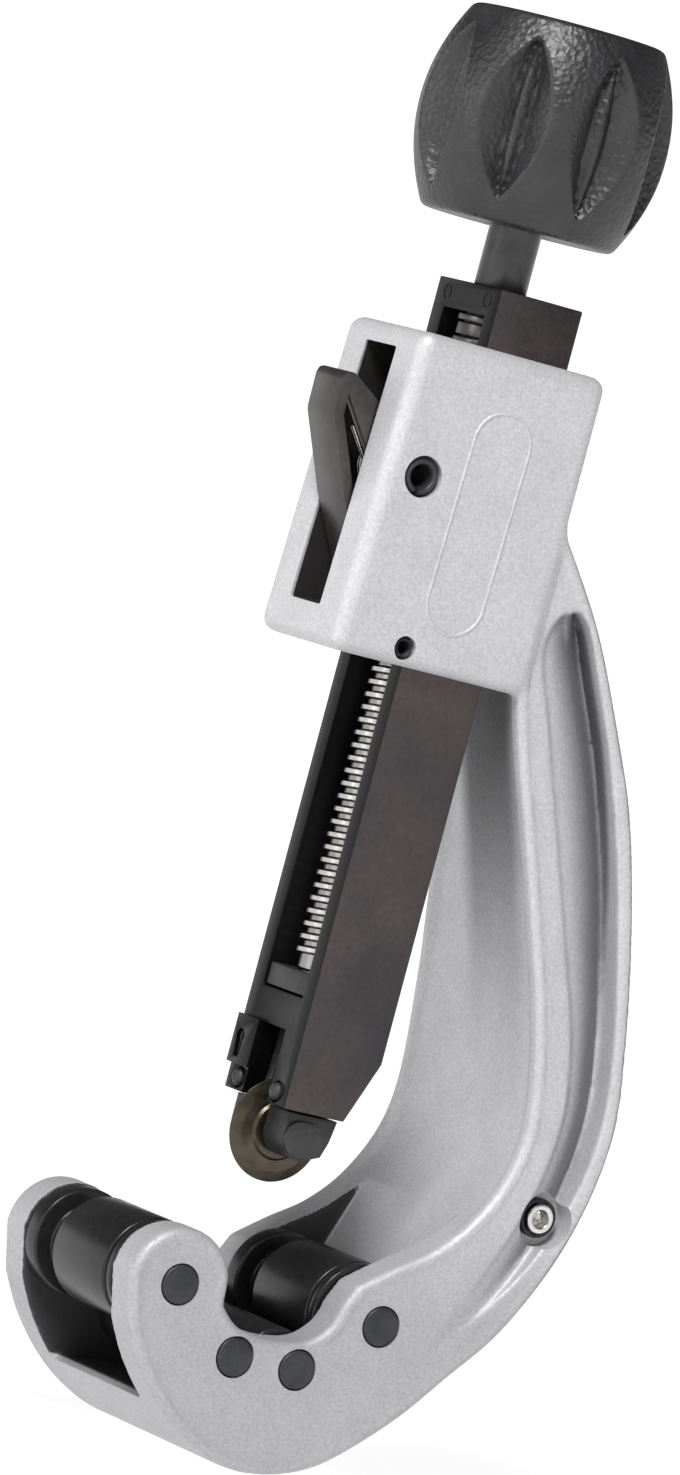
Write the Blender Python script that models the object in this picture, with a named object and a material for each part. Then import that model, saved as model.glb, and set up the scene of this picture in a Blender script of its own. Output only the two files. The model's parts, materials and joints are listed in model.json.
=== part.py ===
"""Quick-acting pipe cutter, built as the separate pieces of the real tool.

X runs from the open front of the C-frame to its back, Y through its thickness and Z up the feed
screw. Sizes are millimetres in the tool's own layout: the feed screw stands on X = 0, Y = 0 and the
frame's lowest point is Z = 0. An empty then moves the tool so that its origin is at the centre of
its base.
"""
from math import cos, pi, radians, sin, sqrt, tau

import bmesh
import bpy
from mathutils import Vector

MM = 0.001
GAP = 0.3  # clearance left between neighbouring pieces

# Centre of the tool's box in its own layout
BOX_CENTRE_X = 13.55
BOX_CENTRE_Y = 4.78

# Roller head: four pins, placed in pairs about the screw's plane
BIG_ROLLER_X = 21.05
BIG_ROLLER_Z = 30.3
BIG_ROLLER_R = 9.75
LOWER_ROLLER_X = 6.5
LOWER_ROLLER_Z = 19.8
LOWER_ROLLER_R = 6.0
ROLLER_PIN_R = 3.55
LOBE_R = 10.0
HEAD_NEAR_Y = -17.6
HEAD_FAR_Y = 31.3
SLOT_NEAR_Y = -9.8
SLOT_FAR_Y = 23.4
SLOT_FLOOR_Z = 11.2
LIP_FRONT_X = -22.0

# Housing that guides the slide, cast in one with the frame
HOUSING_FRONT_TOP_X = -20.6
HOUSING_FRONT_BOTTOM_X = -22.4
HOUSING_BACK_X = 18.6
HOUSING_HALF_Y = 14.1
HOUSING_LOW_Z = 144.3
HOUSING_HIGH_Z = 202.1
HOUSING_EDGE_R = 2.6

# Arm: its sides spread from the housing's width to the head's width between two heights
ARM_HALF_Y = 13.2
SPREAD_LOW_Z = 65.0
SPREAD_HIGH_Z = 150.0
SPREAD_BANDS = 6
ARM_EDGE_R = 1.8
POCKET_DEPTH = 5.5

# Slide: a steel channel with an open front
SLIDE_FRONT_X = -6.1
SLIDE_BACK_X = 11.1
SLIDE_HALF_Y = 11.0
SLIDE_LOW_Z = 63.8
SLIDE_HIGH_Z = 212.7
WINDOW_HALF_Y = 7.2
WINDOW_LOW_Z = 83.3
WINDOW_HIGH_Z = 207.5
CHANNEL_BACK_X = 6.3
FORK_SLOT_HALF_Y = 4.5
FORK_SLOT_HIGH_Z = 77.0
FORK_SLOT_BACK_X = 5.8

# Feed screw and knob
SCREW_R = 4.76
THREAD_ROOT_R = 3.8
THREAD_PITCH = 2.33
THREAD_LOW_Z = 88.6
THREAD_TURNS = 46
THREAD_STEPS = 8
SHANK_TOP_Z = 250.0
TIP_R = 3.0
TIP_LOW_Z = 84.4
KNOB_R = 22.5
KNOB_LOW_Z = 223.7
KNOB_HIGH_Z = 260.75
KNOB_FLUTES = 8
FLUTE_DEPTH = 3.6
FLUTE_END = 0.78  # end of a flute, as a share of the knob's half height
FLUTE_WIDTH = 0.66  # widest part of a flute, as a share of the space between two
BARREL_FALL = 5.2  # how much slimmer the barrel is at its ends
BARREL_END_R = 15.7

# Cutter wheel, its fork and pin
WHEEL_Z = 59.0
WHEEL_R = 9.4
WHEEL_HALF_Y = 1.5
WHEEL_PIN_R = 2.4
FORK_HALF_Y = 9.5
EAR_R = 3.9

# Latch that carries the half-nut
PIVOT_X = -13.7
PIVOT_Z = 177.4
PIVOT_PIN_R = 3.5
LATCH_HALF_Y = 4.9
LATCH_SHEET = 1.6
LATCH_SLOT_HALF_Y = 5.4
LATCH_SLOT_LOW_Z = 151.2
LATCH_SLOT_HIGH_Z = 198.3
GUIDE_PIN_X = -8.3
GUIDE_PIN_Z = 147.6
GUIDE_PIN_R = 1.9

# Screw in the side of the arm
SIDE_SCREW_X = 48.8
SIDE_SCREW_Z = 54.9
COUNTERBORE_R = 5.0

ROUND = 28  # sides of a turned piece


def clear_scene():
    for item in list(bpy.data.objects):
        bpy.data.objects.remove(item, do_unlink=True)


def make_material(name, colour, roughness, metallic):
    material = bpy.data.materials.new(name)
    material.use_nodes = True
    shader = material.node_tree.nodes["Principled BSDF"]
    shader.inputs["Base Color"].default_value = (*colour, 1.0)
    shader.inputs["Roughness"].default_value = roughness
    shader.inputs["Metallic"].default_value = metallic
    return material


# ---------------------------------------------------------------- outlines

def through(points, steps):
    """A smooth open curve through the given points, with the given steps between two of them."""
    ends = [points[0]] + list(points) + [points[-1]]
    curve = []
    for i in range(1, len(ends) - 2):
        before, start, end, after = (Vector(p) for p in ends[i - 1:i + 3])
        for k in range(steps):
            t = k / steps
            curve.append(tuple(0.5 * (
                2 * start + (end - before) * t
                + (2 * before - 5 * start + 4 * end - after) * t ** 2
                + (3 * start - before - 3 * end + after) * t ** 3)))
    curve.append(tuple(points[-1]))
    return curve


def arc(centre, radius, start_deg, end_deg, steps):
    """Points on an arc in the XZ plane, angles from +X towards +Z."""
    turn = [radians(start_deg + (end_deg - start_deg) * k / steps) for k in range(steps + 1)]
    return [(centre[0] + radius * cos(a), centre[1] + radius * sin(a)) for a in turn]


def circle(centre, radius, steps):
    return arc(centre, radius, 0, 360, steps)[:-1]


# ---------------------------------------------------------------- solids

def prism(outline, low_y, high_y):
    """Extrude a closed XZ outline from low_y to high_y."""
    shape = bmesh.new()
    face = shape.faces.new([shape.verts.new((x, low_y, z)) for x, z in outline])
    moved = bmesh.ops.extrude_face_region(shape, geom=[face])["geom"]
    top = [v for v in moved if isinstance(v, bmesh.types.BMVert)]
    bmesh.ops.translate(shape, verts=top, vec=(0, high_y - low_y, 0))
    bmesh.ops.recalc_face_normals(shape, faces=shape.faces[:])
    return shape


def box(low, high):
    x0, y0, z0 = low
    x1, y1, z1 = high
    return prism([(x0, z0), (x1, z0), (x1, z1), (x0, z1)], y0, y1)


def bevel(shape, width, segments, chosen):
    """Round the edges that the test picks."""
    edges = [e for e in shape.edges if chosen(e)]
    bmesh.ops.bevel(shape, geom=edges, offset=width, segments=segments, profile=0.5,
                    affect="EDGES", clamp_overlap=True)
    return shape


def crosses_sides(edge):
    """True for an edge of a prism's two side faces."""
    return abs(edge.verts[0].co.y - edge.verts[1].co.y) < 1e-6


def turned(profile, sides=ROUND, axis="Z", centre=(0, 0, 0), closed=False):
    """Turn (radius, height) points about an axis; a radius of 0 is a point on the axis."""
    shape = bmesh.new()
    rings = []
    for radius, height in profile:
        count = 1 if radius == 0 else sides
        ring = []
        for k in range(count):
            angle = tau * k / sides
            around = (radius * cos(angle), radius * sin(angle))
            if axis == "Z":
                spot = (around[0], around[1], height)
            elif axis == "Y":
                spot = (around[0], height, around[1])
            else:
                spot = (height, around[0], around[1])
            ring.append(shape.verts.new(Vector(spot) + Vector(centre)))
        rings.append(ring)
    pairs = list(zip(rings, rings[1:]))
    if closed:
        pairs.append((rings[-1], rings[0]))
    for low, high in pairs:
        for k in range(sides):
            corners = [low[k % len(low)], low[(k + 1) % len(low)],
                       high[(k + 1) % len(high)], high[k % len(high)]]
            shape.faces.new(list(dict.fromkeys(corners)))
    bmesh.ops.recalc_face_normals(shape, faces=shape.faces[:])
    return shape


def rod(radius, low, high, edge=0.3, sides=ROUND, axis="Y", centre=(0, 0, 0)):
    """A pin with a small chamfer on each end."""
    return turned([(0, low), (radius - edge, low), (radius, low + edge),
                   (radius, high - edge), (radius - edge, high), (0, high)], sides, axis, centre)


def ring(inner, outer, low, high, sides=ROUND, axis="Z", centre=(0, 0, 0)):
    return turned([(inner, low), (outer, low), (outer, high), (inner, high)],
                  sides, axis, centre, closed=True)


# ---------------------------------------------------------------- objects

def place(name, shape, origin=(0, 0, 0)):
    """Make an object from a shape in millimetres, with its origin at the given point."""
    bmesh.ops.translate(shape, verts=shape.verts[:], vec=-Vector(origin))
    bmesh.ops.scale(shape, verts=shape.verts[:], vec=(MM, MM, MM))
    mesh = bpy.data.meshes.new(name)
    shape.to_mesh(mesh)
    shape.free()
    item = bpy.data.objects.new(name, mesh)
    bpy.context.scene.collection.objects.link(item)
    item.location = Vector(origin) * MM
    item.parent = TOOL
    return item


def piece(name, shape, material, origin=(0, 0, 0)):
    item = place(name, shape, origin)
    item.data.materials.append(material)
    item.data.shade_smooth()
    item.data.set_sharp_from_angle(angle=radians(35))
    return item


def combine(item, shape, operation="DIFFERENCE"):
    """Cut a shape from an object, or add it, with a Boolean that stays on the object."""
    tool = place(item.name + "_tool", shape)
    tool.hide_render = True
    tool.display_type = "WIRE"
    step = item.modifiers.new(operation.lower(), "BOOLEAN")
    step.operation = operation
    step.solver = "EXACT"
    step.object = tool


# ---------------------------------------------------------------- frame

def spread(height):
    """0 at the housing's width and 1 at the head's; straight inside each band, so its sides are flat."""
    place_in_bands = (SPREAD_HIGH_Z - height) / (SPREAD_HIGH_Z - SPREAD_LOW_Z) * SPREAD_BANDS
    place_in_bands = min(SPREAD_BANDS, max(0.0, place_in_bands))
    band = min(SPREAD_BANDS - 1, int(place_in_bands))
    low, high = ((t * t * (3 - 2 * t)) for t in (band / SPREAD_BANDS, (band + 1) / SPREAD_BANDS))
    return low + (high - low) * (place_in_bands - band)


def slice_into_bands(shape):
    """Give a prism edges at the heights where the arm's sides change slope."""
    for k in range(SPREAD_BANDS + 1):
        height = SPREAD_LOW_Z + (SPREAD_HIGH_Z - SPREAD_LOW_Z) * k / SPREAD_BANDS
        everything = shape.verts[:] + shape.edges[:] + shape.faces[:]
        bmesh.ops.bisect_plane(shape, geom=everything, plane_co=(0, 0, height),
                               plane_no=(0, 0, 1))
    return shape


def near_y(height):
    return -ARM_HALF_Y + (HEAD_NEAR_Y + ARM_HALF_Y) * spread(height)


def far_y(height):
    return ARM_HALF_Y + (HEAD_FAR_Y - ARM_HALF_Y) * spread(height)


def outer_curve():
    return through([(17.0, 176.0), (29.8, 159.6), (39.7, 142.3), (46.5, 127.9), (51.9, 109.5),
                    (56.1, 89.1), (58.1, 71.0), (54.5, 51.1), (46.5, 34.5), (37.2, 23.3),
                    (28.8, 13.9), (17.6, 4.6), (9.0, 0.9), (0.0, 0.0), (-8.0, 1.9),
                    (-16.5, 6.8), (-24.0, 14.2), (-28.8, 21.6)], 2)


def inner_curve():
    return through([(14.6, 36.5), (21.1, 41.0), (27.8, 45.3), (33.6, 51.2), (38.2, 59.3),
                    (40.1, 67.6), (39.3, 77.5), (35.9, 91.2), (32.3, 102.0), (26.2, 119.3),
                    (19.6, 137.0), (16.5, 148.0)], 2)


def frame_outline():
    front_lobe = arc((-BIG_ROLLER_X, BIG_ROLLER_Z), LOBE_R, 180, 15, 10)
    valley = through([(-11.0, 28.2), (-6.8, 24.9), (0.0, 23.9), (6.8, 24.9), (11.0, 28.2),
                      (12.6, 32.6)], 2)
    return outer_curve() + front_lobe + valley + inner_curve() + [(14.0, 160.0)]


def spread_sides(shape, half):
    """Move a slab's two side faces from +-half to the frame's own widths."""
    slice_into_bands(shape)
    for v in shape.verts:
        if v.co.y < 0:
            v.co.y = near_y(v.co.z) + (v.co.y + half)
        else:
            v.co.y = far_y(v.co.z) + (v.co.y - half)
    return shape


def pocket(depth_sign):
    """The long recess in one side of the arm, between its inner flange and its outer rim."""
    outline = through([(24.0, 163.5), (19.6, 158.5), (18.8, 150.0), (22.6, 142.5), (31.6, 120.4),
                       (38.0, 102.9), (43.0, 88.9), (45.8, 75.9), (45.0, 63.0), (40.5, 52.0)], 2)
    outline += through([(37.0, 40.5), (42.3, 39.5), (49.6, 53.0), (53.7, 66.0), (54.0, 73.7),
                        (52.9, 87.1), (49.8, 101.6), (45.0, 119.4), (38.9, 136.9),
                        (32.4, 150.5), (27.5, 160.7)], 2)
    shape = slice_into_bands(prism(outline, -1.0, 1.0))
    for v in shape.verts:
        side = near_y(v.co.z) if depth_sign < 0 else far_y(v.co.z)
        outwards = v.co.y * depth_sign > 0
        v.co.y = side + depth_sign * (2.0 if outwards else -POCKET_DEPTH)
    return shape


def roller_slot():
    """Space for the rollers between the head's two walls, open to the front and the top."""
    back = arc((BIG_ROLLER_X, BIG_ROLLER_Z), BIG_ROLLER_R + 1.4, 40, -60, 6)
    return ([(38.9, 61.6), (34.4, 50.5)] + back
            + [(22.0, SLOT_FLOOR_Z), (-17.6, SLOT_FLOOR_Z - 1.5), (LIP_FRONT_X, 4.0),
               (-40.0, 4.0), (-40.0, 61.6)])


def build_frame():
    half = 20.0
    slab = prism(frame_outline(), -half, half)
    bevel(slab, ARM_EDGE_R, 2, crosses_sides)
    frame = piece("frame_casting", spread_sides(slab, half), MATERIALS["cast_aluminium"])

    housing = prism([(HOUSING_FRONT_BOTTOM_X, HOUSING_LOW_Z), (HOUSING_BACK_X, HOUSING_LOW_Z),
                     (HOUSING_BACK_X, HOUSING_HIGH_Z), (HOUSING_FRONT_TOP_X, HOUSING_HIGH_Z)],
                    -HOUSING_HALF_Y, HOUSING_HALF_Y)
    bevel(housing, HOUSING_EDGE_R, 2, lambda edge: True)
    combine(frame, housing, "UNION")

    combine(frame, prism(roller_slot(), SLOT_NEAR_Y, SLOT_FAR_Y))
    for side in (-1, 1):
        combine(frame, pocket(side))
    combine(frame, box((SLIDE_FRONT_X - GAP, -SLIDE_HALF_Y - GAP, 100.0),
                       (SLIDE_BACK_X + GAP, SLIDE_HALF_Y + GAP, 220.0)))
    combine(frame, box((-40.0, -LATCH_SLOT_HALF_Y, LATCH_SLOT_LOW_Z),
                       (-2.0, LATCH_SLOT_HALF_Y, LATCH_SLOT_HIGH_Z)))
    for x, z, radius in ((-BIG_ROLLER_X, BIG_ROLLER_Z, ROLLER_PIN_R),
                         (BIG_ROLLER_X, BIG_ROLLER_Z, ROLLER_PIN_R),
                         (-LOWER_ROLLER_X, LOWER_ROLLER_Z, ROLLER_PIN_R),
                         (LOWER_ROLLER_X, LOWER_ROLLER_Z, ROLLER_PIN_R),
                         (PIVOT_X, PIVOT_Z, PIVOT_PIN_R),
                         (GUIDE_PIN_X, GUIDE_PIN_Z, GUIDE_PIN_R)):
        combine(frame, prism(circle((x, z), radius + GAP, 24), -50.0, 50.0))
    combine(frame, prism(circle((SIDE_SCREW_X, SIDE_SCREW_Z), COUNTERBORE_R, 24), -30.0, -12.6))
    combine(frame, prism(circle((SIDE_SCREW_X, SIDE_SCREW_Z), 2.3, 16), -20.0, -4.0))


def build_frame_pins():
    steel = MATERIALS["black_pin"]
    for name, x, z in (("roller_pin_front", -BIG_ROLLER_X, BIG_ROLLER_Z),
                       ("roller_pin_back", BIG_ROLLER_X, BIG_ROLLER_Z),
                       ("lower_pin_front", -LOWER_ROLLER_X, LOWER_ROLLER_Z),
                       ("lower_pin_back", LOWER_ROLLER_X, LOWER_ROLLER_Z)):
        piece(name, rod(ROLLER_PIN_R, HEAD_NEAR_Y + 0.1, HEAD_FAR_Y - 0.1, centre=(x, 0, z)),
              steel, (x, 0, z))
    length = HOUSING_HALF_Y - 0.3
    for name, x, z, outer, inner in (
            ("latch_pivot_pin", PIVOT_X, PIVOT_Z, PIVOT_PIN_R, 1.9),
            ("slide_guide_pin", GUIDE_PIN_X, GUIDE_PIN_Z, GUIDE_PIN_R, 1.2)):
        piece(name, ring(inner, outer, -length, length, 24, "Y", (x, 0, z)), steel, (x, 0, z))


def build_side_screw():
    centre = (SIDE_SCREW_X, 0, SIDE_SCREW_Z)
    bush = ring(2.95, 3.6, -14.7, -12.9, 24, "Y", centre)
    piece("side_screw_bush", bush, MATERIALS["black_rubber"], centre)
    screw = turned([(0, -5.0), (1.8, -5.0), (1.8, -12.9), (2.7, -12.9), (2.7, -15.2),
                    (2.4, -15.5), (1.6, -15.5), (1.6, -13.6), (0, -13.6)], 24, "Y", centre)
    piece("side_screw", screw, MATERIALS["bright_steel"], centre)


# ---------------------------------------------------------------- slide

def build_slide():
    body = piece("slide_body", box((SLIDE_FRONT_X, -SLIDE_HALF_Y, SLIDE_LOW_Z),
                                   (SLIDE_BACK_X, SLIDE_HALF_Y, SLIDE_HIGH_Z)),
                 MATERIALS["blackened_steel"])
    combine(body, box((-20.0, -WINDOW_HALF_Y, WINDOW_LOW_Z),
                      (CHANNEL_BACK_X, WINDOW_HALF_Y, WINDOW_HIGH_Z)))
    combine(body, box((-20.0, -FORK_SLOT_HALF_Y, 50.0),
                      (FORK_SLOT_BACK_X, FORK_SLOT_HALF_Y, FORK_SLOT_HIGH_Z)))
    combine(body, prism(circle((0, WHEEL_Z), WHEEL_R + 0.8, 32), -2.4, 2.4))
    combine(body, turned([(0, 200.0), (SCREW_R + GAP, 200.0), (SCREW_R + GAP, 230.0),
                          (0, 230.0)]))
    combine(body, prism([(SLIDE_BACK_X + 1, 77.6), (SLIDE_BACK_X + 1, 60.0), (4.95, 60.0)],
                        -20.0, 20.0))
    for side in (-1, 1):
        combine(body, turned([(0, -12.0), (1.9, -12.0), (1.9, -1.5), (0, -1.5)], 20, "X",
                             (0, side * 6.9, 66.2)))

    for name, low, high, outer in (("upper_thrust_washer", 206.0, 207.2, 6.0),
                                   ("thrust_bearing", 203.4, 205.7, 5.8),
                                   ("lower_thrust_washer", 201.9, 203.1, 6.0)):
        piece(name, ring(SCREW_R + GAP, outer, low, high), MATERIALS["bright_steel"])
    foot = piece("screw_foot", box((-5.7, -WINDOW_HALF_Y + GAP, WINDOW_LOW_Z + GAP),
                                   (CHANNEL_BACK_X - GAP, WINDOW_HALF_Y - GAP, 87.6)),
                 MATERIALS["dark_steel"])
    combine(foot, turned([(0, 84.1), (TIP_R + GAP, 84.1), (TIP_R + GAP, 95.0), (0, 95.0)]))


def ear_outline():
    """Side view of the fork's foot: a round ear that runs back under the slide."""
    return arc((0, WHEEL_Z), EAR_R, 180, 285, 8) + [(4.6, 56.6), (5.6, 59.5), (6.2, 63.4),
                                                   (-EAR_R, 63.4)]


def build_wheel_carrier():
    centre = (0, 0, WHEEL_Z)
    fork = piece("wheel_fork", prism(ear_outline(), -FORK_HALF_Y, FORK_HALF_Y),
                 MATERIALS["dark_steel"])
    combine(fork, box((-2.4, -FORK_SLOT_HALF_Y + GAP, 62.0),
                      (FORK_SLOT_BACK_X - GAP, FORK_SLOT_HALF_Y - GAP,
                       FORK_SLOT_HIGH_Z - GAP)), "UNION")
    combine(fork, box((-20.0, -WHEEL_HALF_Y - 0.7, 50.0), (20.0, WHEEL_HALF_Y + 0.7, 69.4)))
    combine(fork, prism(circle((0, WHEEL_Z), WHEEL_PIN_R + GAP, 20), -20.0, 20.0))
    head = turned([(0, -10.6), (3.2, -10.6), (3.5, -10.3), (3.5, -9.8), (WHEEL_PIN_R, -9.8),
                   (WHEEL_PIN_R, 9.9), (0, 9.9)], 24, "Y", centre)
    piece("wheel_pin", head, MATERIALS["dark_steel"], centre)

    clip = piece("pin_clip", box((-7.2, 5.4, 68.4), (-6.4, 10.8, 77.2)),
                 MATERIALS["blackened_steel"])
    combine(clip, prism_x(arc((8.2, 73.4), 1.3, -20, 200, 8) + [(7.2, 69.6), (9.2, 69.6)],
                          -10.0, -3.0))
    for name, side in (("clip_rivet_near", -1), ("clip_rivet_far", 1)):
        rivet = turned([(0, -7.0), (1.2, -7.0), (1.6, -6.6), (1.6, -1.9), (0, -1.9)], 20, "X",
                       (0, side * 6.9, 66.2))
        piece(name, rivet, MATERIALS["black_pin"])


def prism_x(outline, low_x, high_x):
    """Extrude a closed YZ outline along X."""
    shape = prism(outline, low_x, high_x)
    for v in shape.verts:
        v.co.x, v.co.y = v.co.y, v.co.x
    shape.normal_update()
    bmesh.ops.recalc_face_normals(shape, faces=shape.faces[:])
    return shape


# ---------------------------------------------------------------- screw and knob

def thread():
    """A right-hand trapezoidal thread with a plain tip, and the shank above it."""
    crest = 0.37 * THREAD_PITCH
    flank = (THREAD_PITCH - 2 * crest) / 2
    tooth = [(THREAD_ROOT_R, 0.0), (THREAD_ROOT_R, crest), (SCREW_R, crest + flank),
             (SCREW_R, 2 * crest + flank)]
    columns = THREAD_TURNS * THREAD_STEPS
    shape = bmesh.new()

    def around(radius, k, height):
        angle = tau * k / THREAD_STEPS
        return shape.verts.new((radius * cos(angle), radius * sin(angle), height))

    grid = []
    for k in range(columns + THREAD_STEPS + 1):
        climb = THREAD_LOW_Z + THREAD_PITCH * k / THREAD_STEPS
        last = k > columns
        points = tooth[:1] if last else tooth
        grid.append([around(radius, k, climb + rise) for radius, rise in points])

    def vert(k, j):
        return grid[k + THREAD_STEPS][0] if j == len(tooth) else grid[k][j]

    for k in range(columns):
        for j in range(len(tooth)):
            shape.faces.new([vert(k, j), vert(k + 1, j), vert(k + 1, j + 1), vert(k, j + 1)])
    for k in (0, columns):
        shape.faces.new([vert(k, j) for j in range(len(tooth) + 1)])

    end_z = THREAD_LOW_Z + THREAD_PITCH * (THREAD_TURNS + 1)
    foot = [[(THREAD_ROOT_R, THREAD_LOW_Z - 0.4), (TIP_R, THREAD_LOW_Z - 0.9),
             (TIP_R, TIP_LOW_Z + 0.5), (TIP_R - 0.5, TIP_LOW_Z)], 0]
    head = [[(THREAD_ROOT_R, end_z + 0.4), (SCREW_R, end_z + 1.3), (SCREW_R, SHANK_TOP_Z - 0.6),
             (SCREW_R - 0.6, SHANK_TOP_Z)], columns]
    for profile, first in (foot, head):
        rings = [[around(radius, k, height) for k in range(THREAD_STEPS)]
                 for radius, height in profile]
        base = rings[0]
        for k in range(THREAD_STEPS):
            corners = [base[k], base[(k + 1) % THREAD_STEPS], grid[first + k + 1][0],
                       grid[first + k][0]]
            if first == 0 and k == THREAD_STEPS - 1:
                corners.insert(2, grid[0][0])
            if first == columns and k == 0:
                corners.append(grid[columns + THREAD_STEPS][0])
            shape.faces.new(corners)
        for low, high in zip(rings, rings[1:]):
            for k in range(THREAD_STEPS):
                shape.faces.new([low[k], low[(k + 1) % THREAD_STEPS],
                                 high[(k + 1) % THREAD_STEPS], high[k]])
        shape.faces.new(rings[-1])
    bmesh.ops.recalc_face_normals(shape, faces=shape.faces[:])
    return shape


def knob_radius(angle, height):
    """A barrel with lens-shaped flutes; height runs from -1 to 1."""
    barrel = KNOB_R - BARREL_FALL * height ** 2
    taper = 1 - min(1.0, abs(height) / FLUTE_END) ** 2
    half_width = FLUTE_WIDTH * taper / 2
    from_centre = abs((angle * KNOB_FLUTES / tau + 0.5) % 1.0 - 0.5)
    if from_centre >= half_width:
        return barrel
    return barrel - FLUTE_DEPTH * (1 - from_centre / half_width) * sqrt(taper)


def knob():
    sides = KNOB_FLUTES * 6
    half = (KNOB_HIGH_Z - KNOB_LOW_Z) / 2
    middle = (KNOB_HIGH_Z + KNOB_LOW_Z) / 2
    bore = SCREW_R + GAP
    levels = [-0.94, -FLUTE_END, -0.58, -0.3, 0.0, 0.3, 0.58, FLUTE_END, 0.94]
    rows = [[(0, SHANK_TOP_Z + GAP)], [(bore, SHANK_TOP_Z + GAP)], [(bore, KNOB_LOW_Z)],
            [(BARREL_END_R, KNOB_LOW_Z)]]
    rows += [[(knob_radius(tau * k / sides, level), middle + half * level)
              for k in range(sides)] for level in levels]
    rows += [[(BARREL_END_R, KNOB_HIGH_Z)], [(0, KNOB_HIGH_Z)]]
    shape = bmesh.new()
    rings = []
    for row in rows:
        count = 1 if row[0][0] == 0 else sides
        spots = [row[k % len(row)] for k in range(count)]
        rings.append([shape.verts.new((r * cos(tau * k / sides), r * sin(tau * k / sides), z))
                      for k, (r, z) in enumerate(spots)])
    for low, high in zip(rings, rings[1:]):
        for k in range(sides):
            corners = [low[k % len(low)], low[(k + 1) % len(low)],
                       high[(k + 1) % len(high)], high[k % len(high)]]
            shape.faces.new(list(dict.fromkeys(corners)))
    bmesh.ops.recalc_face_normals(shape, faces=shape.faces[:])
    return shape


def build_feed_screw():
    piece("feed_screw", thread(), MATERIALS["screw_steel"])
    piece("knob", knob(), MATERIALS["black_plastic"])
    collar = ring(SCREW_R + GAP, 6.0, 198.8, 201.6)
    piece("screw_collar", collar, MATERIALS["dark_steel"])


# ---------------------------------------------------------------- latch

def latch_outlines():
    """Side views of the whole latch, of the hollow behind its plate and of the window in its ears."""
    plate = [(-27.2, 192.0), (-28.6, 191.7), (-29.1, 190.6), (-29.0, 184.0), (-22.5, 170.0),
             (-20.8, 166.0), (-20.8, 153.4), (-20.2, 152.8)]
    behind_plate = [(-19.0, 152.8), (-19.0, 166.4), (-20.8, 170.7), (-27.1, 184.3),
                    (-27.2, 188.0)]
    whole = plate + [(-11.9, 152.8), (-11.9, 169.0), (-9.2, 171.4), (-7.6, 175.2),
                     (-7.6, 179.0), (-9.4, 182.0), (-13.2, 184.0), (-19.4, 187.2),
                     (-25.2, 190.8)]
    hollow = behind_plate + [(-25.4, 200.0), (0.0, 200.0), (0.0, 145.0), (-19.0, 145.0)]
    window = [(-20.8, 170.7), (-27.1, 184.3), (-27.2, 188.0), (-22.1, 181.3), (-18.8, 177.0),
              (-18.0, 170.7)]
    return whole, hollow, window


def build_latch():
    pivot = (PIVOT_X, 0, PIVOT_Z)
    whole, hollow, window = latch_outlines()
    latch = piece("latch", prism(whole, -LATCH_HALF_Y, LATCH_HALF_Y),
                  MATERIALS["blackened_steel"], pivot)
    inside = LATCH_HALF_Y - LATCH_SHEET
    combine(latch, prism(hollow, -inside, inside))
    combine(latch, prism(window, -20.0, 20.0))
    combine(latch, prism(circle((PIVOT_X, PIVOT_Z), PIVOT_PIN_R + GAP, 24), -20.0, 20.0))

    nut = piece("half_nut", box((-18.6, GAP - inside, 154.4), (-SCREW_R - GAP, inside - GAP, 168.6)),
                MATERIALS["bright_steel"], pivot)
    combine(nut, turned([(0, 150.0), (SCREW_R + 2 * GAP, 150.0), (SCREW_R + 2 * GAP, 172.0),
                         (0, 172.0)], 32))
    for k in range(5):
        combine(nut, box((-6.2, -6.0, 155.9 + k * THREAD_PITCH),
                         (0.0, 6.0, 157.0 + k * THREAD_PITCH)))
    build_latch_spring(pivot)


def build_latch_spring(pivot):
    """A torsion spring: coils round the pivot pin, and a leg up behind the lever."""
    wire_r = 0.45
    coil_r = 4.6
    turns = 2.6
    steps = 12
    rise = 0.95
    low_y = -1.3
    points = [(-coil_r - 4.4, low_y, 5.6)]
    for k in range(int(turns * steps) + 1):
        angle = pi - tau * k / steps
        points.append((coil_r * cos(angle), low_y + rise * k / steps, coil_r * sin(angle)))
    data = bpy.data.curves.new("latch_spring", "CURVE")
    data.dimensions = "3D"
    data.bevel_depth = wire_r * MM
    data.bevel_resolution = 1
    data.use_fill_caps = True
    run = data.splines.new("POLY")
    run.points.add(len(points) - 1)
    for spot, (x, y, z) in zip(run.points, points):
        spot.co = (x * MM, y * MM, z * MM, 1.0)
    spring = bpy.data.objects.new("latch_spring", data)
    spring.location = Vector(pivot) * MM
    spring.parent = TOOL
    data.materials.append(MATERIALS["bright_steel"])
    bpy.context.scene.collection.objects.link(spring)


# ---------------------------------------------------------------- wheel and rollers

def build_cutter_wheel():
    centre = (0, 0, WHEEL_Z)
    bore = WHEEL_PIN_R + GAP
    profile = [(bore, -WHEEL_HALF_Y), (5.2, -WHEEL_HALF_Y), (5.5, -1.0), (7.0, -0.9),
               (WHEEL_R, -0.08), (WHEEL_R, 0.08), (7.0, 0.9), (5.5, 1.0), (5.2, WHEEL_HALF_Y),
               (bore, WHEEL_HALF_Y)]
    piece("cutter_wheel", turned(profile, 40, "Y", centre, closed=True),
          MATERIALS["wheel_steel"], centre)


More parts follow.
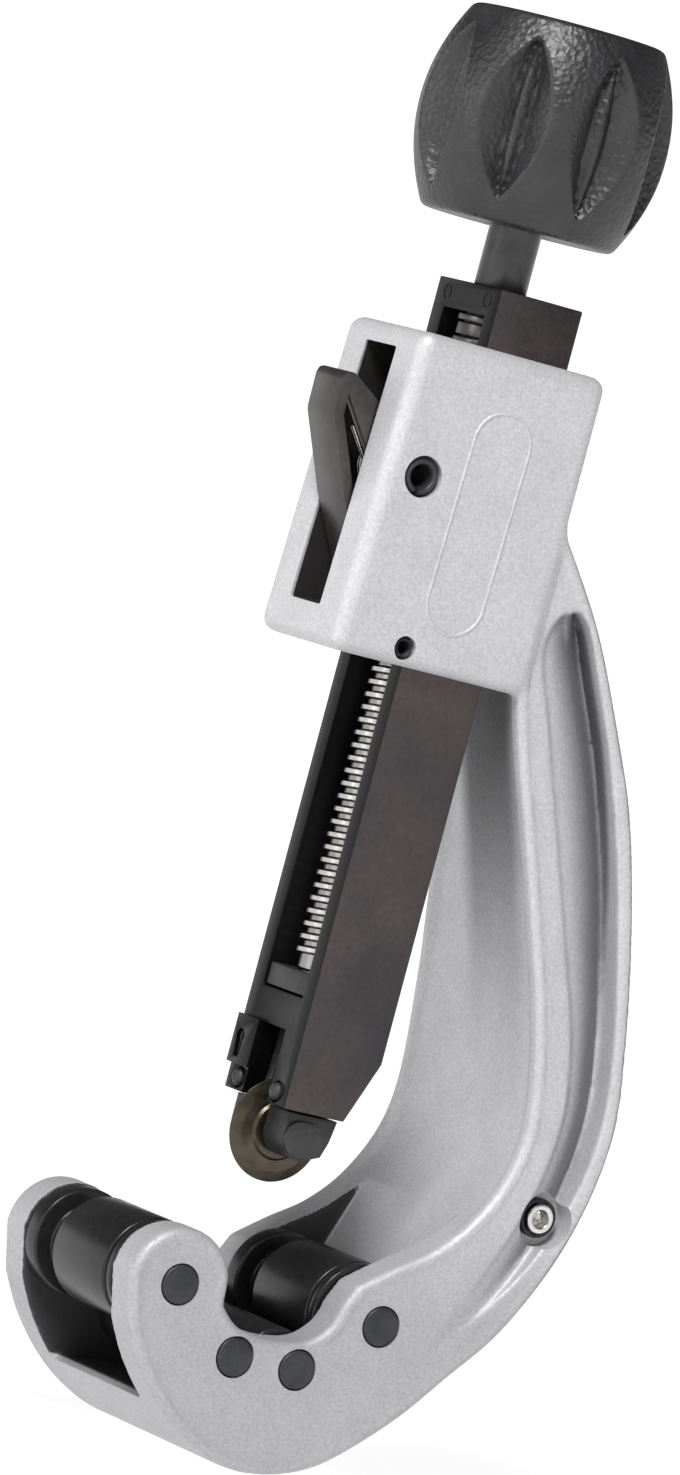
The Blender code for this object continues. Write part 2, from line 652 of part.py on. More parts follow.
def build_rollers():
    bore = ROLLER_PIN_R + GAP
    drum = BIG_ROLLER_R
    big = [(bore, -9.4), (drum - 0.6, -9.4), (drum - 0.1, -8.9), (drum - 0.1, -7.6),
           (drum - 1.2, -7.5), (drum - 1.2, -7.0), (drum, -6.7), (drum, 12.5), (6.4, 12.7),
           (6.4, 19.0), (drum, 19.2), (drum, 22.6), (drum - 0.4, 23.0), (bore, 23.0)]
    small = [(bore, -9.4), (LOWER_ROLLER_R - 0.4, -9.4), (LOWER_ROLLER_R, -9.0),
             (LOWER_ROLLER_R, 22.6), (LOWER_ROLLER_R - 0.4, 23.0), (bore, 23.0)]
    for name, x, z, profile in (("roller_front", -BIG_ROLLER_X, BIG_ROLLER_Z, big),
                                ("roller_back", BIG_ROLLER_X, BIG_ROLLER_Z, big),
                                ("lower_roller_front", -LOWER_ROLLER_X, LOWER_ROLLER_Z, small),
                                ("lower_roller_back", LOWER_ROLLER_X, LOWER_ROLLER_Z, small)):
        centre = (x, 0, z)
        piece(name, turned(profile, ROUND, "Y", centre, closed=True), MATERIALS["roller_steel"],
              centre)


clear_scene()
TOOL = bpy.data.objects.new("pipe_cutter", None)
TOOL.location = Vector((-BOX_CENTRE_X, -BOX_CENTRE_Y, 0.0)) * MM
bpy.context.scene.collection.objects.link(TOOL)
MATERIALS = {name: make_material(name, colour, roughness, metallic)
             for name, colour, roughness, metallic in (
                 ("cast_aluminium", (0.62, 0.62, 0.63), 0.55, 0.6),
                 ("blackened_steel", (0.045, 0.043, 0.045), 0.45, 0.5),
                 ("dark_steel", (0.09, 0.088, 0.09), 0.45, 0.7),
                 ("black_pin", (0.07, 0.07, 0.075), 0.5, 0.6),
                 ("roller_steel", (0.025, 0.024, 0.028), 0.35, 0.4),
                 ("screw_steel", (0.12, 0.12, 0.13), 0.35, 0.9),
                 ("bright_steel", (0.72, 0.71, 0.69), 0.3, 1.0),
                 ("wheel_steel", (0.30, 0.26, 0.20), 0.35, 0.9),
                 ("black_rubber", (0.02, 0.02, 0.02), 0.7, 0.0),
                 ("black_plastic", (0.03, 0.03, 0.032), 0.5, 0.0))}
build_frame()
build_frame_pins()
build_side_screw()
build_slide()
build_wheel_carrier()
build_feed_screw()
build_latch()
build_cutter_wheel()
build_rollers()
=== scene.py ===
"""Looks of the pipe cutter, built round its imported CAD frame.

Shapes are made in the tool's own millimetres: the feed screw stands on X = 0, Y = 0 and the frame's
lowest point is Z = 0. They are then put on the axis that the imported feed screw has.
"""
import json
from math import atan, cos, degrees, pi, radians, sin, sqrt, tau

import bmesh
import bpy
import numpy as np
from mathutils import Matrix, Vector


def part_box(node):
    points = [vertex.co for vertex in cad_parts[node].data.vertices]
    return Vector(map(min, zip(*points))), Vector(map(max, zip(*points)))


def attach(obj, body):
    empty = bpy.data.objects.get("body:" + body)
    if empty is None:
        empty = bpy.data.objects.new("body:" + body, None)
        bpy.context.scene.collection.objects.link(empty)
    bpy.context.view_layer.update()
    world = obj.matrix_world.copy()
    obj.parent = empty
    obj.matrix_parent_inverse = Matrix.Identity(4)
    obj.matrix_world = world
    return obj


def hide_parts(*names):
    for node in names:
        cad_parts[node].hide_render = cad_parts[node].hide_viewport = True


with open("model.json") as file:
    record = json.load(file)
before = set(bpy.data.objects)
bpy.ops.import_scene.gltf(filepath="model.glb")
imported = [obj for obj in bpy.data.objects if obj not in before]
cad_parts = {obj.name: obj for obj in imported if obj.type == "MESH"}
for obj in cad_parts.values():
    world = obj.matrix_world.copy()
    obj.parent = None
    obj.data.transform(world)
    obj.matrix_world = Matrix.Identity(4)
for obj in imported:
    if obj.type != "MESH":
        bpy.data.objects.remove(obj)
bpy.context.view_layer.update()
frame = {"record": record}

MM = 0.001
SCREW_LOW, SCREW_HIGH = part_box("feed_screw")
AXIS = Vector(((SCREW_LOW.x + SCREW_HIGH.x) / 2, (SCREW_LOW.y + SCREW_HIGH.y) / 2, 0.0))
RECORD = frame["record"]
BODY_OF = {node: body for body, nodes in RECORD["behaviour"]["bodies"].items() for node in nodes}
SLOT_OF = {part["node"]: part["material_slot"] for part in RECORD["subparts"]}

# Sizes of the tool, in millimetres
GAP = 0.3
BIG_X, BIG_Z, BIG_R = 21.05, 30.3, 9.75
SMALL_X, SMALL_Z, SMALL_R = 6.5, 19.8, 6.0
ROLLER_PIN_R = 3.55
HEAD_NEAR_Y, HEAD_FAR_Y = -17.6, 31.3
SLOT_NEAR_Y, SLOT_FAR_Y, SLOT_FLOOR_Z = -9.8, 23.4, 11.2
ARM_HALF_Y = 13.2
SPREAD_LOW_Z, SPREAD_HIGH_Z = 65.0, 150.0
HOUSING_HALF_Y, HOUSING_LOW_Z, HOUSING_HIGH_Z = 14.1, 144.3, 202.1
HOUSING_FRONT_LOW_X, HOUSING_FRONT_HIGH_X, HOUSING_BACK_X = -22.4, -20.6, 18.6
SLIDE_FRONT_X, SLIDE_BACK_X, SLIDE_HALF_Y = -6.1, 11.1, 11.0
SLIDE_LOW_Z, SLIDE_HIGH_Z = 63.8, 212.7
WINDOW_HALF_Y, WINDOW_LOW_Z, WINDOW_HIGH_Z, CHANNEL_BACK_X = 7.2, 83.3, 207.5, 6.3
SCREW_R, THREAD_ROOT_R, PITCH, THREAD_LOW_Z, THREAD_TURNS = 4.76, 3.8, 2.33, 88.6, 46
THREAD_TOP_Z = 200.0
KNOB_R, KNOB_LOW_Z, KNOB_HIGH_Z, KNOB_FLUTES = 22.5, 223.7, 260.75, 8
BARREL_FALL, BARREL_CORNER_R = 5.2, 1.8
FLUTE_END, FLUTE_DEPTH, FLUTE_HALF_WIDTH, RIB_SHARE, RIB_RISE = 0.79, 3.9, 0.365, 0.36, 0.3
WHEEL_Z, WHEEL_R, WHEEL_PIN_R = 59.0, 9.4, 2.4
PIVOT_X, PIVOT_Z, PIVOT_PIN_R = -13.7, 177.4, 3.5
GUIDE_X, GUIDE_Z, GUIDE_PIN_R = -8.3, 147.6, 1.9
LATCH_HALF_Y, LATCH_SHEET = 4.9, 1.6
LATCH_SLOT_HALF_Y, LATCH_SLOT_LOW_Z, LATCH_SLOT_HIGH_Z = 5.4, 151.2, 198.3
SIDE_SCREW_X, SIDE_SCREW_Z, COUNTERBORE_R = 48.8, 54.9, 5.2


# ---------------------------------------------------------------- outlines

def through(points, steps=8):
    """A smooth open curve through the given points."""
    ends = [points[0]] + list(points) + [points[-1]]
    curve = []
    for i in range(1, len(ends) - 2):
        before, start, end, after = (Vector(p) for p in ends[i - 1:i + 3])
        for k in range(steps):
            t = k / steps
            curve.append(tuple(0.5 * (
                2 * start + (end - before) * t
                + (2 * before - 5 * start + 4 * end - after) * t ** 2
                + (3 * start - before - 3 * end + after) * t ** 3)))
    curve.append(tuple(points[-1]))
    return curve


def arc(centre, radius, start_deg, end_deg, steps=24):
    turn = [radians(start_deg + (end_deg - start_deg) * k / steps) for k in range(steps + 1)]
    return [(centre[0] + radius * cos(a), centre[1] + radius * sin(a)) for a in turn]


def circle(centre, radius, steps=64):
    return arc(centre, radius, 0, 360, steps)[:-1]


def rectangle(low, high):
    return [(low[0], low[1]), (high[0], low[1]), (high[0], high[1]), (low[0], high[1])]


def rounded(points, radius, closed=False, steps=3):
    """The same outline with each corner rounded."""
    count = len(points)
    result = []
    for i, point in enumerate(points):
        if not closed and i in (0, count - 1):
            result.append(tuple(point))
            continue
        corner = Vector(point)
        back = Vector(points[i - 1]) - corner
        ahead = Vector(points[(i + 1) % count]) - corner
        reach = min(radius, 0.45 * back.length, 0.45 * ahead.length)
        start = corner + back.normalized() * reach
        end = corner + ahead.normalized() * reach
        for k in range(steps + 1):
            t = k / steps
            result.append(tuple((1 - t) ** 2 * start + 2 * t * (1 - t) * corner + t * t * end))
    return result


# ---------------------------------------------------------------- meshes

def new_object(name, data):
    item = bpy.data.objects.new(name, data)
    bpy.context.scene.collection.objects.link(item)
    return item


def make(name, shape):
    """An object from a shape in millimetres, moved onto the feed screw's axis."""
    bmesh.ops.recalc_face_normals(shape, faces=shape.faces[:])
    bmesh.ops.scale(shape, verts=shape.verts[:], vec=(MM, MM, MM))
    bmesh.ops.translate(shape, verts=shape.verts[:], vec=AXIS)
    mesh = bpy.data.meshes.new(name)
    shape.to_mesh(mesh)
    shape.free()
    return new_object(name, mesh)


def soften(item, angle=38):
    item.data.shade_smooth()
    item.data.set_sharp_from_angle(angle=radians(angle))


def apply_modifiers(item):
    graph = bpy.context.evaluated_depsgraph_get()
    mesh = bpy.data.meshes.new_from_object(item.evaluated_get(graph), depsgraph=graph)
    item.modifiers.clear()
    old = item.data
    item.data = mesh
    bpy.data.meshes.remove(old)


def cut(item, shapes, operation="DIFFERENCE"):
    """Cut the shapes from an object, or add them to it."""
    for shape in shapes:
        tool = make("tool", shape)
        step = item.modifiers.new("cut", "BOOLEAN")
        step.operation = operation
        step.solver = "EXACT"
        step.object = tool
        apply_modifiers(item)
        bpy.data.objects.remove(tool)


def break_edges(item, width, segments=2, angle=35):
    """Round every sharp edge by a small width."""
    step = item.modifiers.new("edges", "BEVEL")
    step.width = width * MM
    step.segments = segments
    step.limit_method = "ANGLE"
    step.angle_limit = radians(angle)
    step.use_clamp_overlap = True
    apply_modifiers(item)


def stitch(shape, rings, full=True):
    """Join each ring of points to the next with faces; a ring of one point is a tip."""
    columns = max(len(ring) for ring in rings)
    for low, high in zip(rings, rings[1:]):
        for k in range(columns if full else columns - 1):
            after = (k + 1) % columns
            corners = [low[k % len(low)], low[after % len(low)],
                       high[after % len(high)], high[k % len(high)]]
            shape.faces.new(list(dict.fromkeys(corners)))


def prism(outline, low_y, high_y, axis="Y"):
    """Extrude a closed outline. Along Y it is (x, z), along X it is (y, z), along Z it is (x, y)."""
    shape = bmesh.new()
    order = {"Y": lambda a, b, h: (a, h, b), "X": lambda a, b, h: (h, a, b),
             "Z": lambda a, b, h: (a, b, h)}[axis]
    ends = [[shape.verts.new(order(a, b, h)) for a, b in outline] for h in (low_y, high_y)]
    for ring in ends:
        shape.faces.new(ring)
    count = len(outline)
    for k in range(count):
        after = (k + 1) % count
        shape.faces.new([ends[0][k], ends[0][after], ends[1][after], ends[1][k]])
    bmesh.ops.recalc_face_normals(shape, faces=shape.faces[:])
    return shape


def box(low, high):
    return prism(rectangle(low[::2], high[::2]), low[1], high[1])


def lathe(profile, sides=72, axis="Y", centre=(0, 0, 0), closed=False, sweep=(0.0, 360.0)):
    """Turn (radius, height) points about an axis, all the way or over part of a turn."""
    shape = bmesh.new()
    full = sweep[1] - sweep[0] >= 360.0
    columns = sides if full else sides + 1
    rings = []
    for radius, height in profile:
        ring = []
        for k in range(1 if radius == 0 else columns):
            angle = radians(sweep[0] + (sweep[1] - sweep[0]) * k / sides)
            a, b = radius * cos(angle), radius * sin(angle)
            spot = {"Z": (a, b, height), "Y": (a, height, b), "X": (height, a, b)}[axis]
            ring.append(shape.verts.new(Vector(spot) + Vector(centre)))
        rings.append(ring)
    stitch(shape, rings + rings[:1] if closed else rings, full)
    if not full:
        for k in (0, -1):
            shape.faces.new([ring[k] for ring in rings])
    return shape


# ---------------------------------------------------------------- the casting, as a distance field

def distance(px, pz, line, closed):
    """Distance from points to a line in the XZ plane; for a closed line it is negative inside."""
    best = np.full(px.shape, 1e9, np.float32)
    inside = np.zeros(px.shape, bool)
    ends = line + line[:1] if closed else line
    for (x0, z0), (x1, z1) in zip(ends, ends[1:]):
        dx, dz = x1 - x0, z1 - z0
        t = np.clip(((px - x0) * dx + (pz - z0) * dz) / (dx * dx + dz * dz + 1e-12), 0, 1)
        best = np.minimum(best, (px - x0 - t * dx) ** 2 + (pz - z0 - t * dz) ** 2)
        if closed and abs(dz) > 1e-9:
            crosses = ((z0 > pz) != (z1 > pz)) & (px < (pz - z0) * dx / dz + x0)
            inside ^= crosses
    best = np.sqrt(best)
    return np.where(inside, -best, best) if closed else best


def smoothstep(t):
    t = np.clip(t, 0.0, 1.0)
    return t * t * (3 - 2 * t)


def spread(height):
    """0 at the housing's width and 1 at the head's."""
    return smoothstep((SPREAD_HIGH_Z - height) / (SPREAD_HIGH_Z - SPREAD_LOW_Z))


def round_extrusion(flat, thick, radius):
    """Distance to the solid that two distances bound, with its edges rounded."""
    a = np.maximum(flat + radius, 0)
    b = np.maximum(thick + radius, 0)
    return np.minimum(np.maximum(flat, thick) + radius, 0) + np.sqrt(a * a + b * b) - radius


def smooth_union(a, b, blend):
    h = np.maximum(blend - np.abs(a - b), 0) / blend
    return np.minimum(a, b) - h * h * blend / 4


OUTER = [(17.0, 176.0), (29.8, 159.6), (39.7, 142.3), (46.5, 127.9), (51.9, 109.5),
         (56.1, 89.1), (58.1, 71.0), (54.5, 51.1), (46.5, 34.5), (37.2, 23.3), (28.8, 13.9),
         (17.6, 4.6), (9.0, 0.9), (0.0, 0.0), (-8.0, 1.9), (-16.5, 6.8), (-24.0, 14.2),
         (-28.8, 21.6)]
INNER = [(14.6, 36.5), (21.1, 41.0), (27.8, 45.3), (33.6, 51.2), (38.2, 59.3), (40.1, 67.6),
         (39.3, 77.5), (35.9, 91.2), (32.3, 102.0), (26.2, 119.3), (19.6, 137.0), (16.5, 148.0)]
VALLEY = [(-11.0, 28.2), (-6.8, 24.9), (0.0, 23.9), (6.8, 24.9), (11.0, 28.2), (12.6, 32.6)]
POCKET_FRONT = [(25.2, 161.6), (21.8, 160.6), (19.6, 156.4), (19.9, 150.6), (24.0, 140.8), (31.8, 120.4),
                (38.1, 102.9), (43.1, 88.9), (45.8, 75.9), (45.3, 64.5), (42.6, 54.0),
                (38.5, 44.0), (34.0, 34.0), (31.0, 26.0)]
POCKET_BACK = [(25.2, 161.6), (28.4, 158.6), (33.2, 149.8), (39.8, 136.4), (46.1, 119.4),
               (50.8, 101.9), (53.9, 87.3), (55.3, 74.0), (53.9, 61.5), (49.2, 49.0),
               (43.4, 39.5), (37.4, 31.5), (32.2, 25.0)]


POCKET_DEPTH, EDGE_R, RIM_EDGE_R, FACE_STEP = 6.4, 1.5, 0.6, 0.28


def arm_outline():
    lobe = arc((-BIG_X, BIG_Z), 10.0, 180, 15, 40)
    return through(OUTER) + lobe + through(VALLEY) + through(INNER) + [(14.0, 160.0)]


def pocket_depth(px, pz):
    """The pocket's edge, and how deep its floor lies: a scoop that deepens towards the outer rim."""
    front, back = through(POCKET_FRONT), through(POCKET_BACK)
    edge = distance(px, pz, front + back[::-1], True)
    to_front = distance(px, pz, front, False)
    to_back = distance(px, pz, back, False)
    across = to_front / (to_front + to_back + 1e-6)
    scoop = 0.15 * across + 0.85 * across ** 2.2
    depth = POCKET_DEPTH * smoothstep((pz - 24.0) / 44.0) * smoothstep((168.0 - pz) / 6.0)
    return edge, 0.55 + depth * scoop


def arm_field(px, pz, y):
    """The arm and the roller head in one outline, wider at the head, with the side pockets cut."""
    z = pz[0][None, None, :]
    flat = distance(px, pz, arm_outline(), True)[:, None, :]
    to_inner = distance(px, pz, through(INNER), False)[:, None, :]
    to_outer = distance(px, pz, through(OUTER), False)[:, None, :]
    pocket_edge, dip = (grid[:, None, :] for grid in pocket_depth(px, pz))
    wide = spread(z)
    near = -ARM_HALF_Y + (HEAD_NEAR_Y + ARM_HALF_Y) * wide
    far = ARM_HALF_Y + (HEAD_FAR_Y - ARM_HALF_Y) * wide

    # The arm's inner face is a shallow trough between its two ridges.
    trough = smoothstep((y - near - 1.8) / 3.0) * smoothstep((far - y - 1.8) / 3.0)
    trough = trough * smoothstep((z - 46.0) / 12.0) * (to_inner < to_outer)
    # Its sides are flat inside a crease that follows the rounded edge.
    ledge = FACE_STEP * smoothstep((-flat - EDGE_R - 0.2) / 0.5)
    sides = np.maximum(near + ledge - y, y - far + ledge)
    share = to_outer / (to_inner + to_outer + 1e-6)
    rim = smoothstep((z - 45.0) / 20.0) * smoothstep((0.5 - share) / 0.3)
    arm = round_extrusion(flat + 1.1 * trough, sides, EDGE_R - (EDGE_R - RIM_EDGE_R) * rim)
    floor = np.minimum(y - near - dip, far - dip - y) * 0.75
    pocket = -smooth_union(-pocket_edge, -floor, 1.8)
    return -smooth_union(-arm, pocket, 0.2)


def housing_field(px, pz, y):
    edge = 2.6
    house = [(HOUSING_FRONT_LOW_X + edge, HOUSING_LOW_Z + edge),
             (HOUSING_BACK_X - edge, HOUSING_LOW_Z + edge),
             (HOUSING_BACK_X - edge, HOUSING_HIGH_Z - edge),
             (HOUSING_FRONT_HIGH_X + edge, HOUSING_HIGH_Z - edge)]
    house_flat = distance(px, pz, house, True)[:, None, :] - edge
    return round_extrusion(house_flat, np.abs(y) - HOUSING_HALF_Y, edge)


def roller_slot_field(px, pz, y):
    back = arc((BIG_X, BIG_Z), BIG_R + 1.4, 40, -60, 24)
    slot = ([(38.9, 61.6), (34.4, 50.5)] + back
            + [(22.0, SLOT_FLOOR_Z), (-17.6, SLOT_FLOOR_Z - 1.5), (-22.0, 4.0), (-45.0, 4.0),
               (-45.0, 61.6)])
    slot_flat = distance(px, pz, slot, True)[:, None, :]
    slot_side = np.maximum(SLOT_NEAR_Y - y, y - SLOT_FAR_Y)
    return round_extrusion(slot_flat, slot_side, 0.8)


def casting_field(step):
    """Distance to the casting at every point of a grid, and the grid's lowest corner."""
    xs = np.arange(-33.0, 60.5, step, dtype=np.float32)
    ys = np.arange(-19.5, 33.5, step, dtype=np.float32)
    zs = np.arange(-2.0, 204.5, step, dtype=np.float32)
    px, pz = np.meshgrid(xs, zs, indexing="ij")
    y = ys[None, :, None]
    solid = smooth_union(arm_field(px, pz, y), housing_field(px, pz, y), 1.4)
    field = np.maximum(solid, -roller_slot_field(px, pz, y))
    return field, (float(xs[0]), float(ys[0]), float(zs[0]))


def surface_nets(field, low, step):
    """Vertices and quads of the surface where the field is zero."""
    inside = field < 0
    corner = [(i, j, k) for i in (0, 1) for j in (0, 1) for k in (0, 1)]
    nx, ny, nz = (n - 1 for n in field.shape)
    total = np.zeros((nx, ny, nz), np.int8)
    for i, j, k in corner:
        total += inside[i:i + nx, j:j + ny, k:k + nz]
    cells = np.argwhere((total > 0) & (total < 8))
    number = np.full((nx, ny, nz), -1, np.int32)
    number[tuple(cells.T)] = np.arange(len(cells))
    spots = np.zeros((len(cells), 3))
    hits = np.zeros(len(cells))
    value = {c: field[tuple((cells + c).T)] for c in corner}
    for a in corner:
        for axis in range(3):
            if a[axis]:
                continue
            b = tuple(1 if n == axis else a[n] for n in range(3))
            va, vb = value[a], value[b]
            cross = (va < 0) != (vb < 0)
            t = np.where(cross, va / np.where(cross, va - vb, 1), 0)
            spots[cross] += np.array(a, float)
            spots[cross, axis] += t[cross]
            hits[cross] += 1
    spots = (cells + spots / hits[:, None]) * step + np.array(low)
    quads = []
    for axis in range(3):
        one, two = [n for n in range(3) if n != axis]
        a = np.moveaxis(inside, axis, 0)
        edges = np.argwhere(a[:-1] != a[1:])
        edges = edges[(edges[:, 1] > 0) & (edges[:, 2] > 0)]
        edges = edges[(edges[:, 1] < a.shape[1] - 1) & (edges[:, 2] < a.shape[2] - 1)]
        cell = np.zeros((len(edges), 3), int)
        cell[:, axis], cell[:, one], cell[:, two] = edges.T
        ring = []
        for back_one, back_two in ((1, 1), (0, 1), (0, 0), (1, 0)):
            at = cell.copy()
            at[:, one] -= back_one
            at[:, two] -= back_two
            ring.append(number[tuple(at.T)])
        ring = np.stack(ring, 1)
        flip = inside[tuple(cell.T)] ^ (axis == 1)
        ring[~flip] = ring[~flip][:, ::-1]
        quads.append(ring)
    return spots, np.concatenate(quads)


def relax(spots, quads, rounds):
    """Even out the grid's small steps."""
    edges = np.concatenate([quads[:, [k, (k + 1) % 4]] for k in range(4)])
    degree = np.bincount(edges.ravel(), minlength=len(spots))[:, None]
    for _ in range(rounds):
        total = np.zeros_like(spots)
        for axis in range(3):
            total[:, axis] = (np.bincount(edges[:, 0], spots[edges[:, 1], axis], len(spots))
                              + np.bincount(edges[:, 1], spots[edges[:, 0], axis], len(spots)))
        spots = spots * 0.5 + 0.5 * total / degree
    return spots


def casting_piece():
    step = 0.5
    field, low = casting_field(step)
    spots, quads = surface_nets(field, low, step)
    spots = relax(spots, quads, 2)
    mesh = bpy.data.meshes.new("casting")
    mesh.from_pydata((spots * MM + np.array(AXIS)).tolist(), [], quads.tolist())
    item = new_object("casting", mesh)
    thin = item.modifiers.new("thin", "DECIMATE")
    thin.ratio = min(1.0, 150000 / (2 * len(quads)))
    apply_modifiers(item)

    slide = rectangle((SLIDE_FRONT_X - GAP, -SLIDE_HALF_Y - GAP), (SLIDE_BACK_X + GAP, SLIDE_HALF_Y + GAP))
    slot = rectangle((-LATCH_SLOT_HALF_Y, LATCH_SLOT_LOW_Z), (LATCH_SLOT_HALF_Y, LATCH_SLOT_HIGH_Z))
    slide, slot = rounded(slide, 0.5, True), rounded(slot, 0.6, True)
    tools = [prism(slide, 100.0, 220.0, "Z"), prism(slot, -40.0, -2.0, "X")]
    for x, z, radius in ((-BIG_X, BIG_Z, ROLLER_PIN_R), (BIG_X, BIG_Z, ROLLER_PIN_R),
                         (-SMALL_X, SMALL_Z, ROLLER_PIN_R), (SMALL_X, SMALL_Z, ROLLER_PIN_R),
                         (PIVOT_X, PIVOT_Z, PIVOT_PIN_R), (GUIDE_X, GUIDE_Z, GUIDE_PIN_R)):
        tools.append(prism(circle((x, z), radius + 0.25), -50.0, 50.0))
    tools.append(prism(circle((SIDE_SCREW_X, SIDE_SCREW_Z), COUNTERBORE_R), -30.0, -12.6))
    tools.append(prism(circle((SIDE_SCREW_X, SIDE_SCREW_Z), 2.3, 32), -20.0, -4.0))
    cut(item, tools)
    soften(item, 42)
    return item


# ---------------------------------------------------------------- materials

class Nodes:
    """A material's node tree, with short calls for the nodes that the finishes use."""

    def __init__(self, name):
        self.material = bpy.data.materials.new(name)
        self.material.use_nodes = True
        self.tree = self.material.node_tree
        self.shader = self.tree.nodes["Principled BSDF"]
        self.place = self.add("ShaderNodeTexCoord").outputs["Object"]

    def add(self, kind, **values):
        node = self.tree.nodes.new(kind)
        for name, value in values.items():
            setattr(node, name, value)
        return node

    def link(self, start, end):
        self.tree.links.new(start, end)

    def noise(self, size_mm, detail=3.0, rough=0.55):
        """Noise with features of about the given size."""
        node = self.add("ShaderNodeTexNoise")
        node.inputs["Scale"].default_value = 1 / (size_mm * MM)
        node.inputs["Detail"].default_value = detail
        node.inputs["Roughness"].default_value = rough
        self.link(self.place, node.inputs["Vector"])
        return node.outputs["Fac"]

    def ramp(self, value, stops):
        node = self.add("ShaderNodeValToRGB")
        elements = node.color_ramp.elements
        while len(elements) < len(stops):
            elements.new(0.5)
        for element, (at, colour) in zip(elements, stops):
            element.position = at
            colour = colour if isinstance(colour, tuple) else (colour, colour, colour)
            element.color = (*colour, 1.0)
        self.link(value, node.inputs["Fac"])
        return node.outputs["Color"]

    def mix(self, amount, one, two, blend="MIX"):
        node = self.add("ShaderNodeMix", data_type="RGBA", blend_type=blend)
        for socket, value in ((node.inputs[0], amount), (node.inputs[6], one), (node.inputs[7], two)):
            if isinstance(value, (int, float)):
                socket.default_value = value
            elif isinstance(value, tuple):
                socket.default_value = (*value, 1.0)
            else:
                self.link(value, socket)
        return node.outputs[2]

    def number(self, operation, one, two):
        node = self.add("ShaderNodeMath", operation=operation)
        for socket, value in zip(node.inputs, (one, two)):
            if isinstance(value, (int, float)):
                socket.default_value = value
            else:
                self.link(value, socket)
        return node.outputs[0]

    def split(self, vector):
        node = self.add("ShaderNodeSeparateXYZ")
        self.link(vector, node.inputs[0])
        return [node.outputs[axis] for axis in "XYZ"]

    def millimetres(self):
        """X, Y and Z in the tool's own millimetres."""
        mapping = self.add("ShaderNodeMapping")
        mapping.inputs["Location"].default_value = -AXIS / MM
        mapping.inputs["Scale"].default_value = (1 / MM,) * 3
        self.link(self.place, mapping.inputs["Vector"])
        return self.split(mapping.outputs["Vector"])

    def facing(self):
        """The three parts of the surface normal."""
        return self.split(self.add("ShaderNodeTexCoord").outputs["Normal"])

    def size(self, value):
        return self.number("ABSOLUTE", value, 0.0)

    def share(self, value, low, high, shape="LINEAR"):
        """How far a value has gone from low to high, from 0 to 1."""
        node = self.add("ShaderNodeMapRange", interpolation_type=shape)
        self.link(value, node.inputs["Value"])
        node.inputs["From Min"].default_value = low
        node.inputs["From Max"].default_value = high
        return node.outputs[0]

    def above(self, value, edge, soft=0.3):
        """1 from an edge upwards, fading to 0 a little below it."""
        return self.share(value, edge - soft, edge, "SMOOTHSTEP")

    def below(self, value, edge, soft=0.3):
        """1 up to an edge, fading to 0 a little above it."""
        return self.above(self.number("MULTIPLY", value, -1.0), -edge, soft)

    def within(self, value, low, high, soft=0.3):
        """1 between two edges, fading to 0 outside them."""
        return self.all_of(self.above(value, low, soft), self.below(value, high, soft))

    def all_of(self, *masks):
        result = masks[0]
        for mask in masks[1:]:
            result = self.number("MULTIPLY", result, mask)
        return result

    def bump(self, layers):
        """Stack bumps: (height, strength, distance in mm)."""
        normal = None
        for height, strength, depth in layers:
            node = self.add("ShaderNodeBump")
            node.inputs["Strength"].default_value = strength
            node.inputs["Distance"].default_value = depth * MM
            self.link(height, node.inputs["Height"])
            if normal is not None:
                self.link(normal, node.inputs["Normal"])
            normal = node.outputs["Normal"]
        self.link(normal, self.shader.inputs["Normal"])

    def finish(self, colour, roughness, metallic, specular=0.5):
        self.link(colour, self.shader.inputs["Base Color"])
        self.link(roughness, self.shader.inputs["Roughness"])
        self.shader.inputs["Metallic"].default_value = metallic
        self.shader.inputs["Specular IOR Level"].default_value = specular
        return self.material


# The roller slot's colour is plainly darker; the latch slot's colour is painted shade.
ROLLER_SLOT_DARK, SLOT_SHADE = (0.050, 0.048, 0.051), (0.026, 0.024, 0.023)
# Painted shade in the side pockets and towards the roller head, and a painted shadow on the arm's inner
# face.
POCKET_SHADE, INNER_FACE_SHADOW, HEAD_SHADE = (0.38, 0.38, 0.385), (0.20, 0.20, 0.205), (0.78, 0.78, 0.785)
WHITE = (1.0, 1.0, 1.0)


# Each mask is 1 where it applies. x, y and z are in the tool's millimetres.

def roller_slot_mask(n, x, y, z):
    """The roller slot's side walls, and all of it near its open front."""
    sideways = n.above(n.size(n.facing()[1]), 0.8, 0.2)
    before_slope = n.number("SUBTRACT", n.number("MULTIPLY", z, 0.45), x)
    return n.all_of(n.within(y, SLOT_NEAR_Y - 0.2, SLOT_FAR_Y + 0.2), n.within(z, 9.6, 61.9),
                    n.above(before_slope, -21.0),
                    n.number("MAXIMUM", sideways, n.below(x, -2.0, 4.0)))


def latch_slot_shade_mask(n, x, y, z):
    """The latch slot's walls, from just behind the housing's sloping front; they get painted shade."""
    lean = (HOUSING_FRONT_HIGH_X - HOUSING_FRONT_LOW_X) / (HOUSING_HIGH_Z - HOUSING_LOW_Z)
    behind_front = n.number("SUBTRACT", x, n.number("MULTIPLY", z, lean))
    return n.all_of(n.below(n.size(y), LATCH_SLOT_HALF_Y + 0.2),
                    n.within(z, LATCH_SLOT_LOW_Z - 0.2, LATCH_SLOT_HIGH_Z + 0.3),
                    n.above(behind_front, -26.3), n.below(x, -6.0))


def pocket_shade_mask(n, x, y, z):
    """The side pocket's steep and deep parts, which get painted shade."""
    facing_x, facing_y, _ = n.facing()
    height = n.within(z, 50.0, 163.0, 14.0)
    steep = n.all_of(n.above(facing_x, 0.6, 0.5), n.above(n.size(facing_y), 0.5, 0.3), height,
                     n.above(x, 20.0, 2.0))
    outer_half = n.above(n.number("ADD", x, n.number("MULTIPLY", z, 0.313)), 71.5, 1.5)
    deep = n.all_of(outer_half, n.below(facing_x, 0.8, 0.1), height,
                    n.below(n.size(y), ARM_HALF_Y - 3.6, 2.2))
    return n.number("MAXIMUM", steep, deep)


